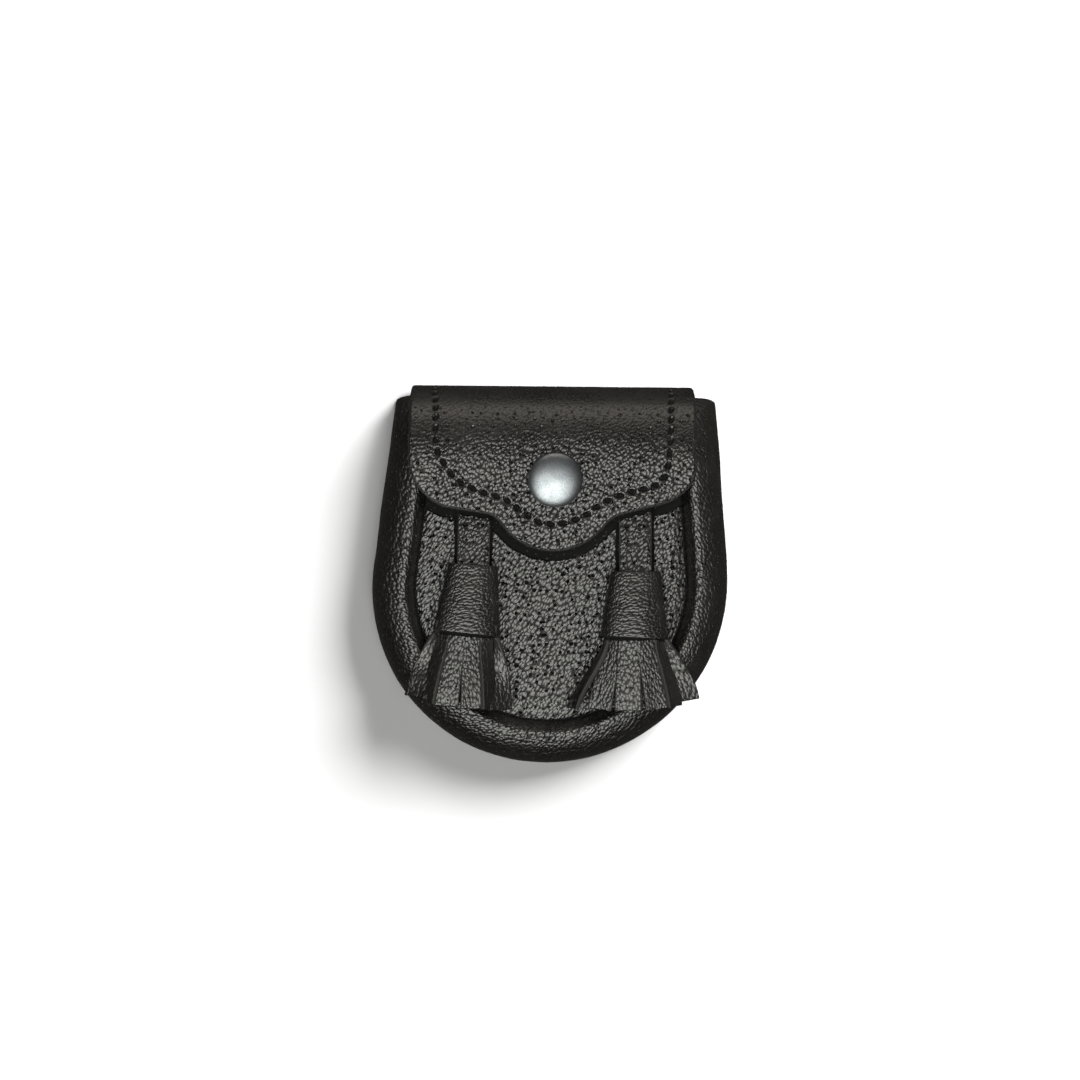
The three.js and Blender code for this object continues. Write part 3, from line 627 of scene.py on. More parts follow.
# Small gathers where the leather turns round the foot: degrees from the foot, depth and width in mm
PUCKERS = [
    (-31, 0.22, 1.3), (-24, 0.16, 1.0), (-17, 0.26, 1.2), (-11, 0.2, 0.9), (-6.5, 0.34, 0.9), (-3, 0.42, 0.8),
    (0.5, 0.5, 0.8), (4, 0.36, 0.7), (8, 0.26, 1.0), (14, 0.2, 1.0), (21, 0.28, 1.3), (30, 0.18, 1.2),
    (42, 0.14, 1.5), (-44, 0.15, 1.5), (-58, 0.1, 1.6), (57, 0.1, 1.6),
]

# Long and short lumps of the roll: their size and height in mm, and the seed
ROLL_LUMPS = [(11, 0.16, 5.0), (4.5, 0.07, 9.0)]


def outline_stations(step):
    """Stations of the outline from the left top end round the foot: x, y and the outward normal."""
    angles = np.arange(-math.pi / 2, SIDE_TAPER, step / RADIUS)
    arc = np.column_stack((
        RADIUS * np.cos(angles), ARC_Y + RADIUS * np.sin(angles), np.cos(angles), np.sin(angles),
    ))
    tangent_y = ARC_Y + RADIUS * math.sin(SIDE_TAPER)
    ys = np.linspace(tangent_y, GUSSET_TOP, int((GUSSET_TOP - tangent_y) / step) + 1)
    ends = GUSSET_TOP + ROLL_END_RISE * np.sin(np.linspace(0, math.pi / 2, 7))[1:]
    ys = np.concatenate((ys[ys < GUSSET_TOP - 0.1], [GUSSET_TOP], ends))
    c, s = math.cos(SIDE_TAPER), math.sin(SIDE_TAPER)
    side = np.column_stack((half_width(ys), ys, np.full(len(ys), c), np.full(len(ys), s)))
    right = np.concatenate((arc, side))
    left = right[1:][::-1] * (-1, 1, -1, 1)
    return np.concatenate((left, right))


def roll_line(y, ny, across, share):
    """The wall's outer face at a station: how far in from the outline, and the height."""
    def flange(inset):
        return inset, float(panel_face(y - ny * inset)) - PANEL_THICKNESS - SEAM_GAP

    turn = GUSSET_THICKNESS / 3
    seam_height = flange(ROLL_WIDTH)[1] + GUSSET_THICKNESS
    return np.concatenate((
        [(across[0] + inset, SEAT) for inset in (BACK_FLANGE, 2, 0.6)],
        np.column_stack((across, lerp(SEAT, crest(y - ny * across), share))),
        [(ROLL_WIDTH, seam_height), flange(ROLL_WIDTH + turn), flange(ROLL_WIDTH + FRONT_FLANGE)],
    ))


def roll_sink(x, y, line, places):
    """How far gathers and lumps move the outer face in, for each point of the line."""
    lumps = sum(wobble(places, size, seed) * height for size, height, seed in ROLL_LUMPS)
    angle = math.degrees(math.atan2(x, -(y - ARC_Y)))
    fold = 0.0
    for at, depth, width in PUCKERS:
        fold += depth * math.exp(-(((angle - at) / 57.3 * 40) / width) ** 2)
    inner_side = smooth((line[:, 0] / ROLL_WIDTH - 0.42) / 0.3) * (line[:, 1] > BODY_DEPTH * 0.3)
    sink = fold * inner_side - lumps * (line[:, 1] > SEAT + 1)
    sink[-4:] = 0
    return sink


def gusset(material):
    stations = outline_stations(0.6)
    runs = runs_along(stations[:, :2])
    across, share = np.clip(curved(ROLL_SECTION, 64), 0, 1).T * ((ROLL_WIDTH,), (1,))
    rings, uvs = [], []
    for (x, y, nx, ny), run in zip(stations, runs):
        line = roll_line(y, ny, across, share)
        tangent = unit(np.gradient(line, axis=0))
        normal = np.column_stack((tangent[:, 1], -tangent[:, 0]))  # towards the inside of the wall
        places = np.column_stack((x - nx * line[:, 0], y - ny * line[:, 0], line[:, 1]))
        sink = roll_sink(x, y, line, places)[:, None]
        inner = line + normal * (GUSSET_THICKNESS + sink)
        section = np.concatenate((line + normal * sink, inner[::-2]))
        past = min(max((y - GUSSET_TOP - ROLL_END_RISE + ROLL_END) / ROLL_END, 0), 1)
        core = np.array((ROLL_WIDTH * 0.7, lerp(SEAT, float(crest(y)), 0.45)))
        section = core + (section - core) * max(math.sqrt(1 - past * past), 0.2)
        rings.append(np.column_stack((x - nx * section[:, 0], y - ny * section[:, 0], section[:, 1])))
        uvs.append(np.column_stack((runs_along(section), np.full(len(section), run))))
    vertices, faces, uv = swept(np.array(rings), np.array(uvs))
    make_object("gusset_leather", vertices, faces, uv, material, "gusset")


# Front panel

LIP_CORNER = 1.5  # radius of the panel's top corners
PANEL_WAVE = {"size": 16, "height": 0.12, "seed": 4.0}
PANEL_TUCK = 0.7  # how deep the panel is pulled in beside its seam
TUCK_WIDTH = 3.2


def flap_shade(flat, reach):
    """The painted shadow band beside the flap: 1 under its edge, falling evenly to 0 at the given reach."""
    return np.clip(1 - beyond_flap(flat) / reach, 0, 1)


def strap_middle(tassel, y):
    """Where a strap's middle lies at y, and how far down the strap that is, from 0 to 1."""
    to_x, to_y = tassel_frame(tassel)
    top_y = TOP - STRAP_TOP_DROP
    share = (top_y - y) / (top_y - to_y(0, 0))
    return lerp(tassel["side"] * STRAP_SPREAD / 2, to_x(0, 0), share), share


def strap_shade(flat):
    """The painted shadow line on the panel along both sides of each strap."""
    shade = np.zeros(len(flat))
    for tassel in TASSELS:
        middle, share = strap_middle(tassel, flat[:, 1])
        away = np.abs(flat[:, 0] - middle) - STRAP_WIDTH / 2
        line = np.clip(1 - away / STRAP_SHADE, 0, 1) * ((share > 0) & (share < 1.1))
        shade = np.maximum(shade, line)
    return shade


def panel_outline():
    side = foot_and_side(ROLL_WIDTH + GAP, LIP_Y - LIP_CORNER, 60, 40)
    corner = top_corner(side[-1], LIP_CORNER, (0.5, 1.0, 1.57))
    right = resampled(np.concatenate((side, corner, [(0, LIP_Y)])), 0.8)
    right[0, 0] = right[-1, 0] = 0
    return np.concatenate((right, right[1:-1][::-1] * (-1, 1)))


def front_panel(material):
    def place(points, depth):
        x, y = points[:, 0], points[:, 1]
        seam = depth_inside(x, y) - ROLL_WIDTH
        tuck = PANEL_TUCK * (1 - smooth(seam / TUCK_WIDTH)) * (y < LIP_Y - 2)
        wave = wobble(np.column_stack((x, y, x * 0)), PANEL_WAVE["size"], PANEL_WAVE["seed"])
        level = wave * PANEL_WAVE["height"] - 0.1
        return np.column_stack((x, y, panel_face(y) - depth - tuck * (depth < 1) + level))

    fine = [resampled(WHOLE_EDGE + (0.0, -1.4), 1.2)]
    for tassel in TASSELS:
        ys = np.linspace(TOP - STRAP_TOP_DROP - 4, TOP - SLEEVE_DROP, 20)
        middle, _ = strap_middle(tassel, ys)
        fine += [np.column_stack((middle + side * (STRAP_WIDTH / 2 + 0.5), ys)) for side in (-1, 1)]
    leather_sheet(
        "front_panel", panel_outline(), place, PANEL_THICKNESS, CUT_RADIUS["panel"],
        material, fine=np.concatenate(fine),
        # painted shadow beside the flap and along the straps
        shade=lambda flat: np.maximum(flap_shade(flat, FLAP_SHADE), strap_shade(flat)),
    )


# Straps, sleeves and fringes

STRAP_RIPPLE = {"left": 0.1, "right": 0.24}  # height of the fine lengthwise wrinkles
SLEEVE_RING = 96
CORNER_POWER = 0.85  # makes the sleeve's section squarer than an ellipse
MOUTH_SLOPE = {"left": 0.5, "right": 1.0}  # how much lower the mouth's right end lies than its left end


def tassel_frame(tassel):
    """Functions that give x and y of a point across and along the tassel's axis."""
    angle = math.radians(tassel["lean"]) * tassel["side"]
    start_x = tassel["side"] * (STRAP_SPREAD / 2 + tassel["shift"] * STRAP_WIDTH)
    start_y = TOP - tassel["drop"] * SLEEVE_DROP
    c, s = math.cos(angle), math.sin(angle)
    return (
        lambda across, along: start_x + across * c + along * s,
        lambda across, along: start_y + across * s - along * c,
    )


def sleeve_length(tassel):
    return tassel["length"] * SLEEVE_LENGTH


def sleeve_size(tassel, share, inset=0.0):
    """Half width, half height and the middle's height at a share of the sleeve's length."""
    _, to_y = tassel_frame(tassel)
    high = lerp(SLEEVE_TOP_HEIGHT, SLEEVE_MOUTH_HEIGHT, share) / 2
    wide = tassel["width"] * lerp(SLEEVE_TOP_WIDTH, SLEEVE_MOUTH_WIDTH, share) / 2
    middle = float(panel_face(to_y(0, share * sleeve_length(tassel)))) + GAP + high
    return wide - inset, high - inset, middle


def strip_section(columns, thickness, radius, half):
    """A flat strip's section: across from -1 to 1, height over its middle, and 1 on the cut edges."""
    inset = min(radius / half, 0.4)
    top = [(a, thickness / 2, 0) for a in np.linspace(-1 + inset, 1 - inset, columns)]
    turns = np.radians((30, 60, 90))
    across = 1 - inset * (1 - np.sin(turns))
    edge = np.column_stack((across, thickness / 2 - radius * (1 - np.cos(turns)), np.ones(3)))
    upper = np.concatenate((top, edge, edge[::-1] * (1, -1, 1)))
    return np.concatenate((upper, upper * (-1, -1, 1)))


def strip(centres, rights, halves, bow, thickness, columns, radius, ripple=None):
    """A leather strip along centres; rights give its sideways direction and bow raises its edges."""
    forward = unit(np.gradient(centres, axis=0))
    rights = unit(rights - forward * np.sum(rights * forward, axis=1)[:, None])
    ups = np.cross(rights, forward)
    ups *= np.sign(ups[:, 2:3] + 1e-9)
    runs = runs_along(centres)
    a, height, edge = strip_section(columns, thickness, radius, float(np.mean(halves))).T
    rings, uvs = [], []
    for i, run in enumerate(runs):
        across = a * halves[i]
        up = height + bow[i] * (a * a - 0.4)
        if ripple is not None:
            up = up + ripple(across, run)
        rings.append(centres[i] + rights[i] * across[:, None] + ups[i] * up[:, None])
        uvs.append(np.column_stack((across + (height < 0) * 40, np.full(len(a), run))))
    return *swept(np.array(rings), np.array(uvs)), np.tile(edge, len(centres))


def joined(parts, shift=(17.3, 31.7)):
    """Several (vertices, faces, uv, edge) as one, with each one's uv moved on from the last one's."""
    vertices, faces, uv, edge = [], [], [], []
    start = 0
    for k, (v, f, u, e) in enumerate(parts):
        vertices.append(v)
        faces += [tuple(start + i for i in face) for face in f]
        uv.append(u + np.multiply(shift, k))
        edge.append(e)
        start += len(v)
    return np.concatenate(vertices), faces, np.concatenate(uv), np.concatenate(edge)


def strap(tassel, material):
    to_x, to_y = tassel_frame(tassel)
    side = tassel["side"]

    def stop(x, y, share, lift):
        """A point of the strap's middle, lifted by a share of the sleeve's half height there."""
        rise = sleeve_size(tassel, share)[1] - STRAP_THICKNESS / 2
        return x, y, float(panel_face(y)) + GAP + STRAP_THICKNESS / 2 + rise * lift

    stops = []
    for share in (0, 0.3, 0.55, 0.7, 0.85):
        y = lerp(TOP - STRAP_TOP_DROP, to_y(0, 0), share)
        stops.append(stop(strap_middle(tassel, y)[0], y, 0, share))
    for along in (0, STRAP_INSERT / 2, STRAP_INSERT):
        stops.append(stop(to_x(0, along), to_y(0, along), along / sleeve_length(tassel), 1))
    centres = curved(stops, 70)
    rights = np.tile((1.0, 0.0, 0.0), (len(centres), 1))
    halves = STRAP_WIDTH / 2 + wobble(centres, 9, 3.0 + side) * 0.12
    bow = np.full(len(centres), 0.12)
    deep = STRAP_RIPPLE[tassel["name"]]

    def ripple(across, run):
        return deep * np.array([noise_at(a / 1.1, run / 9, 11.0 + side) for a in across])

    vertices, faces, uv, edge = strip(
        centres, rights, halves, bow, STRAP_THICKNESS, 21, CUT_RADIUS["strap"], ripple,
    )
    name = "strap_" + tassel["name"]
    make_object(
        name + "_leather", vertices, faces, uv, material, name,
        # painted shadow where the strap runs out from under the flap
        edge=edge, shadow=flap_shade(vertices[:, :2], FLAP_STRAP_SHADE),
    )


def oval_ring(tassel, along, inset, count):
    """A ring round the sleeve's axis, its points' angles, and how far they lie across."""
    to_x, to_y = tassel_frame(tassel)
    share = along / sleeve_length(tassel)
    wide, high, middle = sleeve_size(tassel, share, inset)
    angles = np.linspace(0, 2 * math.pi, count, endpoint=False) - math.pi / 2
    c, s = np.cos(angles), np.sin(angles)
    across = wide * np.sign(c) * np.abs(c) ** CORNER_POWER
    up = high * np.sign(s) * np.abs(s) ** CORNER_POWER
    lay = along + MOUTH_SLOPE[tassel["name"]] * across / SLEEVE_MOUTH_WIDTH * float(smooth(share))
    return np.column_stack((to_x(across, lay), to_y(across, lay), middle + up)), angles, across


def sleeve(tassel, material):
    """The tube, as rings down its outer face, round the mouth, up its inner face and round the top."""
    length = sleeve_length(tassel)
    seed = 21.0 + tassel["side"]
    layers = (
        [(0.0, SLEEVE_WALL / 2), (0.05, 0.25), (0.2, 0.06)]
        + [(along, 0.0) for along in np.linspace(0, length, 44)[1:-1]]
        + [(length - 0.2, 0.06), (length - 0.05, 0.25), (length, SLEEVE_WALL / 2)]
        + [(along, SLEEVE_WALL) for along in (length - 0.15, *np.linspace(length - 1, 0.6, 10), 0.1)]
    )
    girth = np.linspace(0, 46, SLEEVE_RING)
    rings, uvs, edges = [], [], []
    reach = 0.0
    for k, (along, inset) in enumerate(layers):
        ring, angles, across = oval_ring(tassel, along, inset, SLEEVE_RING)
        if inset < 0.3:
            crease = np.array([noise_at(a / 7, along / 1.5, seed) for a in across])
            dent = np.array([noise_at(a / 5, along / 6, seed + 5) for a in across])
            ring[:, 2] += (crease * 0.04 + dent * 0.1) * np.maximum(np.sin(angles), 0)
        rings.append(ring)
        reach += 0 if k == 0 else abs(along - layers[k - 1][0]) + abs(inset - layers[k - 1][1])
        uvs.append(np.column_stack((girth, np.full(SLEEVE_RING, reach))))
        edges.append(1.0 if 0.2 < inset < SLEEVE_WALL * 0.9 else 0.0)
    vertices = np.concatenate(rings)
    faces = [tuple(i % len(vertices) for i in face) for face in ring_faces(len(rings) + 1, SLEEVE_RING)]
    name = "sleeve_" + tassel["name"]
    make_object(
        name + "_leather", vertices, faces, np.concatenate(uvs), material, name,
        edge=np.repeat(edges, SLEEVE_RING),
    )


def drape(x, y):
    """Height of the underside of a thong that lies over a point of the plan."""
    inside = depth_inside(x, y) / ROLL_WIDTH
    rise = smooth((DRAPE_START - inside) / (DRAPE_START - DRAPE_CREST))
    past = np.maximum(DRAPE_CREST / 2 - inside, 0) * ROLL_WIDTH
    return lerp(panel_face(y), crest(y), rise) + THONG_GAP - DRAPE_FALL * past ** 2


def thong(tassel, row, seed):
    to_x, to_y = tassel_frame(tassel)
    length = sleeve_length(tassel)
    wide, high, middle = sleeve_size(tassel, 1, SLEEVE_WALL + GAP)
    reach = THONG_THICKNESS / 2
    leave = math.radians(row["around"])
    start_across = (wide - reach) * math.cos(leave)
    start_height = middle + (high - reach) * math.sin(leave)
    start_tip = math.atan((-high * math.cos(leave)) / (wide * math.sin(leave)))
    full = length + row["reach"] * FRINGE_LENGTH

    def cut(along):
        """Place, half width and tilt of a cut across the thong, and the least height over the leather."""
        gone = max(along - length, 0) / (full - length)
        spread = float(lerp(gone, smooth(gone), 0.6))
        across = lerp(start_across, row["out"] * SLEEVE_MOUTH_WIDTH, spread)
        across += 0.35 * noise_at(gone * 1.6, seed, 1.0) * gone
        half = row["width"] * SLEEVE_MOUTH_WIDTH * lerp(THONG_START_WIDTH, THONG_NARROWING, spread) / 2
        tip = lerp(start_tip, math.radians(row["turn"]), math.sqrt(spread))
        tip += math.radians(4) * noise_at(gone * 1.8, seed, 7.0) * gone
        lowest = []
        for side in (-1, 0, 1):
            px = across + side * half * math.cos(tip)
            lowest.append(float(drape(to_x(px, along), to_y(px, along))) - side * half * math.sin(tip))
        return gone, spread, across, half, tip, max(lowest) + reach

    end_height = cut(full)[-1] + row["lift"] * SLEEVE_MOUTH_HEIGHT
    flat_x, flat_y = to_x(1, 0) - to_x(0, 0), to_y(1, 0) - to_y(0, 0)
    centres, rights, halves, bows = [], [], [], []
    for along in np.linspace(length - HEAD_OVERLAP, full, 37):
        gone, spread, across, half, tip, ground = cut(along)
        height = max(lerp(start_height, end_height, spread), ground if gone > 0 else 0)
        height += 0.12 * noise_at(gone * 2.2, seed, 3.0) * gone
        centres.append((to_x(across, along), to_y(across, along), height))
        rights.append((flat_x * math.cos(tip), flat_y * math.cos(tip), math.sin(tip)))
        halves.append(half)
        bows.append(-0.25 * (1 - gone) + row["curl"] * 1.2 * gone * gone)
    return strip(np.array(centres), np.array(rights), halves, bows, THONG_THICKNESS, 11, CUT_RADIUS["thong"])


def fringe_head(tassel):
    """The rolled end of the thongs, which fills the sleeve."""
    ends = np.linspace(STRAP_INSERT + GAP, sleeve_length(tassel) - 0.4, 12)
    rings = np.array([oval_ring(tassel, along, SLEEVE_WALL + GAP, 64)[0] for along in ends])
    vertices, faces, uv = swept(rings, np.zeros(rings.shape[:2] + (2,)))
    return vertices, faces, uv, np.ones(len(vertices))


def fringe(tassel, material):
    parts = [fringe_head(tassel)]
    for k, values in enumerate(THONGS[tassel["name"]]):
        parts.append(thong(tassel, dict(zip(THONG_COLUMNS, values)), 3.1 * k + tassel["side"]))
    vertices, faces, uv, edge = joined(parts)
    to_x, to_y = tassel_frame(tassel)
    start = np.array((to_x(0, 0), to_y(0, 0)))
    along = (vertices[:, :2] - start) @ (np.array((to_x(0, 1), to_y(0, 1))) - start)
    # painted shadow on the thongs just below the sleeve's mouth
    shadow = np.clip(1 - (along - sleeve_length(tassel)) / MOUTH_SHADE, 0, 1)
    name = "fringe_" + tassel["name"]
    make_object(
        name + "_leather", vertices, faces, uv, material, name, edge=edge, shadow=shadow,
    )


# Snap

POST_RADIUS = 1.8


def snap_cap(material):
    """The domed cap with its rim turned under, and the post through the flap."""
    face = FLAP_FACE - FLAP_DIP + GAP
    cap = CAP_DIAMETER / 2
    profile = []
    for angle in range(4, 84, 4):
        a = math.radians(angle)
        profile.append((cap * math.sin(a), CAP_RIM + (CAP_RISE - CAP_RIM) * math.cos(a)))
    profile += [
        (cap - 0.06, 0.84), (cap, 0.66), (cap - 0.02, 0.46), (cap - 0.14, 0.28), (cap - 0.36, 0.16),
        (cap - 0.8, 0.1), (cap - 2.5, 0.1), (POST_RADIUS, 0.1), (POST_RADIUS, -SHEET_THICKNESS - 0.6),
    ]
    count = 128
    angles = np.linspace(0, 2 * math.pi, count, endpoint=False)
    rings = [
        np.column_stack((r * np.cos(angles), SNAP_Y + r * np.sin(angles), np.full(count, face + z)))
        for r, z in profile
    ]
    vertices = np.concatenate((*rings, [(0, SNAP_Y, face + CAP_RISE)]))
    faces = ring_faces(len(rings), count)
    faces += [(len(vertices) - 1, j, (j + 1) % count) for j in range(count)]
    faces.append(tuple(range((len(rings) - 1) * count, len(rings) * count)))
    uv = vertices[:, :2] - (0, SNAP_Y)
    make_object("snap_cap_metal", vertices, faces, uv, material, "snap_cap")


# Materials


class Surface:
    """A new material with short ways to add and join its nodes."""

    def __init__(self, name, **settings):
        self.material = bpy.data.materials.new(name)
        self.material.use_nodes = True
        self.tree = self.material.node_tree
        self.shader = self.tree.nodes["Principled BSDF"]
        for title, value in settings.items():
            self.shader.inputs[title.replace("_", " ")].default_value = value

    def add(self, kind, inputs, **settings):
        made = self.tree.nodes.new("ShaderNode" + kind)
        for title, value in settings.items():
            setattr(made, title, value)
        for title, value in inputs.items():
            if isinstance(value, bpy.types.NodeSocket):
                self.tree.links.new(value, made.inputs[title])
            else:
                made.inputs[title].default_value = value
        return made

    def math(self, operation, a, b=0.0):
        return self.add("Math", {0: a, 1: b}, operation=operation).outputs[0]

    def ramp(self, value, low, high, to_low=0.0, to_high=1.0):
        limits = {"Value": value, "From Min": low, "From Max": high, "To Min": to_low, "To Max": to_high}
        return self.add("MapRange", limits, interpolation_type="SMOOTHSTEP").outputs[0]

    def times(self, a, b):
        return self.math("MULTIPLY", a, b)

    def plus(self, a, b):
        return self.math("ADD", a, b)

    def mix(self, share, a, b):
        colours = {6: (*a, 1) if isinstance(a, tuple) else a, 7: (*b, 1)}
        return self.add("Mix", {0: share, **colours}, data_type="RGBA").outputs[2]

    def flat(self):
        """Places on the flat leather, one unit for each 100 mm."""
        return self.add("UVMap", {}, uv_map="leather").outputs[0]

    def attribute(self, title):
        return self.add("Attribute", {}, attribute_name=title).outputs["Fac"]

    def cells(self, vector, scale):
        return self.add("TexVoronoi", {"Vector": vector, "Scale": scale}, voronoi_dimensions="2D").outputs

    def noise(self, vector, size, detail=2.0, **settings):
        """Noise with lumps of the given size in millimetres."""
        inputs = {"Vector": vector, "Scale": 1 / (size * UV_SCALE), "Detail": detail}
        return self.add("TexNoise", inputs, **settings).outputs["Fac"]

    def set(self, title, value):
        self.tree.links.new(value, self.shader.inputs[title])

    def bump(self, height):
        """Relief from a height in millimetres."""
        made = self.add("Bump", {"Height": height, "Distance": MM, "Strength": 1.0})
        self.set("Normal", made.outputs[0])


# Leather: heights are shares of the relief, and sizes are in mm
BLACK = (0.0055, 0.005, 0.0044)
# Near black painted into the pores, the stitch pits and the shadow bands and lines: painted shade
PAINTED_SHADE_BLACK = (0.001, 0.001, 0.001)
STROKE_HEIGHT = 0.35
LUMP_SIZE, LUMP_HEIGHT = 2.2, 0.22
FINE_SIZE, FINE_HEIGHT = 0.4, 0.12
PORE_SPACING, PORE_DEPTH = 2.1, 3.4
CALM_SHARE = 0.13  # of the relief, where the leather is stretched over the fold
SHADOW_FALL = 3.0  # how far the bump falls over a painted shadow band or line, in mm


def pebbles(s, warped, cell, stretch, angle):
    """Height of the rounded pebbles, from 1 in their middle, and of the strokes between them."""
    turned = s.add("Mapping", {"Vector": warped, "Rotation": (0, 0, angle)}).outputs[0]
    grid = (1 / (cell * UV_SCALE), 1 / (cell * stretch * UV_SCALE), 1)
    scaled = s.add("Mapping", {"Vector": turned, "Scale": grid}).outputs[0]
    middle = s.cells(scaled, 1.0)["Distance"]
    pebble = s.math("SUBTRACT", 1.0, s.times(s.times(middle, middle), 1.8))
    return pebble, s.add("TexNoise", {"Vector": scaled, "Scale": 0.9, "Detail": 1.0}).outputs["Fac"]


def pore_cones(s, warped, pores):
    """Depth of the pores, each a cone of its own size, from 0 at the rim to 1."""
    cells = s.cells(warped, 1 / (PORE_SPACING * UV_SCALE))
    size = s.math("MAXIMUM", s.times(cells["Color"], pores), 0.02)
    return s.math("MAXIMUM", s.math("SUBTRACT", 1.0, s.math("DIVIDE", cells["Distance"], size)), 0.0)


def calmed(s, flat, height, calm):
    """The height made low between the three runs of calm, fully so at the middle one."""
    start, middle, end = (run * UV_SCALE for run in calm)
    run = s.add("SeparateXYZ", {"Vector": flat}).outputs[1]
    before = s.ramp(run, start, middle, 1.0, 0.0)
    rough = s.math("MAXIMUM", s.ramp(run, middle, end), before)
    return s.times(height, s.ramp(rough, 0.0, 1.0, CALM_SHARE, 1.0))


def leather(name, cell, stretch, angle, relief, pores, gloss, calm=None):
    """Black pebbled leather.

    cell is the width of a pebble in mm, stretch its length in widths, angle its turn and relief its height in
    mm. pores is the size of the pores, gloss the least roughness, and calm three runs with low grain.
    """
    s = Surface(name, Specular_IOR_Level=1.0)
    flat = s.flat()
    drift = s.add("TexNoise", {"Vector": flat, "Scale": 1 / (2.0 * UV_SCALE), "Detail": 2.0}).outputs["Color"]
    centred = s.add("VectorMath", {0: drift, 1: (0.5, 0.5, 0.5)}, operation="SUBTRACT").outputs[0]
    pushed = s.add("VectorMath", {0: centred, "Scale": 1.1 * cell * UV_SCALE}, operation="SCALE").outputs[0]
    warped = s.add("VectorMath", {0: flat, 1: pushed}, operation="ADD").outputs[0]
    pebble, strokes = pebbles(s, warped, cell, stretch, angle)
    pore = pore_cones(s, warped, pores)
    edge, pit, shadow = (s.attribute(title) for title in ("edge", "pit", "shadow"))

    height = s.plus(pebble, s.times(strokes, STROKE_HEIGHT))
    height = s.plus(height, s.times(s.noise(flat, LUMP_SIZE, 1.0), LUMP_HEIGHT))
    height = s.plus(height, s.times(s.noise(flat, FINE_SIZE), FINE_HEIGHT))
    height = s.times(s.math("SUBTRACT", height, s.times(pore, PORE_DEPTH)), relief)
    if calm:
        height = calmed(s, flat, height, calm)
    height = s.times(height, s.ramp(edge, 0.1, 0.5, 1.0, 0.12))
    height = s.times(height, s.math("SUBTRACT", 1.0, pit))
    s.bump(s.math("SUBTRACT", height, s.times(shadow, SHADOW_FALL)))

    tone = s.noise(flat, 14.0, 3.0)
    # Base colour lighter on the pebbles' tops and darker between them: painted light and shade on the grain,
    # in patches of the leather's own random tone
    crest_light_and_tone = s.times(pebble, s.ramp(tone, 0.35, 0.75))
    shade = s.mix(crest_light_and_tone, tuple(c * 0.6 for c in BLACK), tuple(c * 1.5 for c in BLACK))
    # Painted shade: the stitch pits and the shadow bands and lines go near black in colour
    shaded_pits_and_bands = s.times(s.math("MAXIMUM", pit, s.ramp(shadow, 0.0, 0.15)), 0.9)
    # and the pores get the same painted shade
    painted_shade_mask = s.math("MAXIMUM", shaded_pits_and_bands, s.ramp(pore, 0.0, 0.3))
    s.set("Base Color", s.mix(painted_shade_mask, shade, PAINTED_SHADE_BLACK))

    roughness = s.plus(gloss, s.times(s.math("SUBTRACT", tone, 0.5), 0.12))
    roughness = s.plus(roughness, s.ramp(pebble, 0.2, 0.9, 0.2, 0.0))
    dull = s.math("MAXIMUM", shaded_pits_and_bands, s.ramp(edge, 0.5, 1.0))
    s.set("Roughness", s.math("MAXIMUM", roughness, s.times(dull, 0.75)))
    return s.material


def thread_material():
    """Black waxed thread of two plies."""
    s = Surface("black_waxed_thread", Specular_IOR_Level=0.15)
    turned = s.add("Mapping", {"Vector": s.flat(), "Rotation": (0, 0, 0.9)}).outputs[0]
    wave = {"Vector": turned, "Scale": 0.5 / (0.5 * UV_SCALE), "Distortion": 1.0}
    ply = s.add("TexWave", wave).outputs["Fac"]
    s.bump(s.times(ply, 0.08))
    # Darker in the grooves between the plies and lighter on their ridges: painted shade
    s.set("Base Color", s.mix(ply, (0.0015, 0.0015, 0.0015), (0.006, 0.006, 0.006)))
    s.set("Roughness", s.ramp(ply, 0, 1, 0.9, 0.7))
    return s.material


def snap_material(name, from_flat):
    """Satin nickel with fine pits, dull in places."""
    s = Surface(name, Metallic=1.0)
    if from_flat:
        place = s.flat()
    else:
        own = s.add("TexCoord", {}).outputs["Object"]
        place = s.add("Mapping", {"Vector": own, "Scale": (UV_SCALE / MM,) * 3}).outputs[0]
    speckle = s.noise(place, 0.4, 3.0)
    cloud = s.noise(place, 3.5, 3.0)
    tone = s.plus(s.times(speckle, 0.6), s.times(cloud, 0.4))
    s.set("Base Color", s.mix(s.ramp(tone, 0.3, 0.7), (0.26, 0.285, 0.305), (0.46, 0.49, 0.515)))
    s.set("Roughness", s.ramp(tone, 0.3, 0.7, 0.46, 0.36))
    s.bump(s.times(speckle, 0.035))
    return s.material


def floor_material():
    s = Surface("pale_floor", Roughness=0.9, Specular_IOR_Level=0.2)
    place = s.add("TexCoord", {}).outputs["Object"]
    cloud = s.add("TexNoise", {"Vector": place, "Scale": 6.0, "Detail": 2.0}).outputs["Fac"]
    s.set("Base Color", s.mix(cloud, (0.60, 0.60, 0.60), (0.63, 0.63, 0.63)))
    return s.material


# Stage, lights and camera

PIXEL = 0.2772  # millimetres of the pouch for each pixel of a frame 1080 pixels wide
FRAME_PIXELS = 1080
MIDDLE_PIXEL = (551, 574)  # where the pouch's middle lies in the frame, from its top left corner
CAMERA_DISTANCE = 1000
CAMERA_LEAN = (-1.5, -0.5)  # degrees from straight above, towards +X and +Y
CAMERA_ROLL = 0.45
CAMERA_TARGET_HEIGHT = 15
FLOOR_REACH = 3.0  # metres each way


def aimed(obj, place, target, roll=0.0):
    """Places an object, in millimetres, with its -Z towards the target and its Y towards the pouch's top."""
    place, target = Vector(place) * MM, Vector(target) * MM
    back = (place - target).normalized()
    right = Vector((0, 1, 0)).cross(back).normalized()
    turn = Matrix((right, back.cross(right), back)).transposed().to_4x4()
    obj.matrix_world = Matrix.Translation(place) @ turn @ Matrix.Rotation(math.radians(roll), 4, "Z")


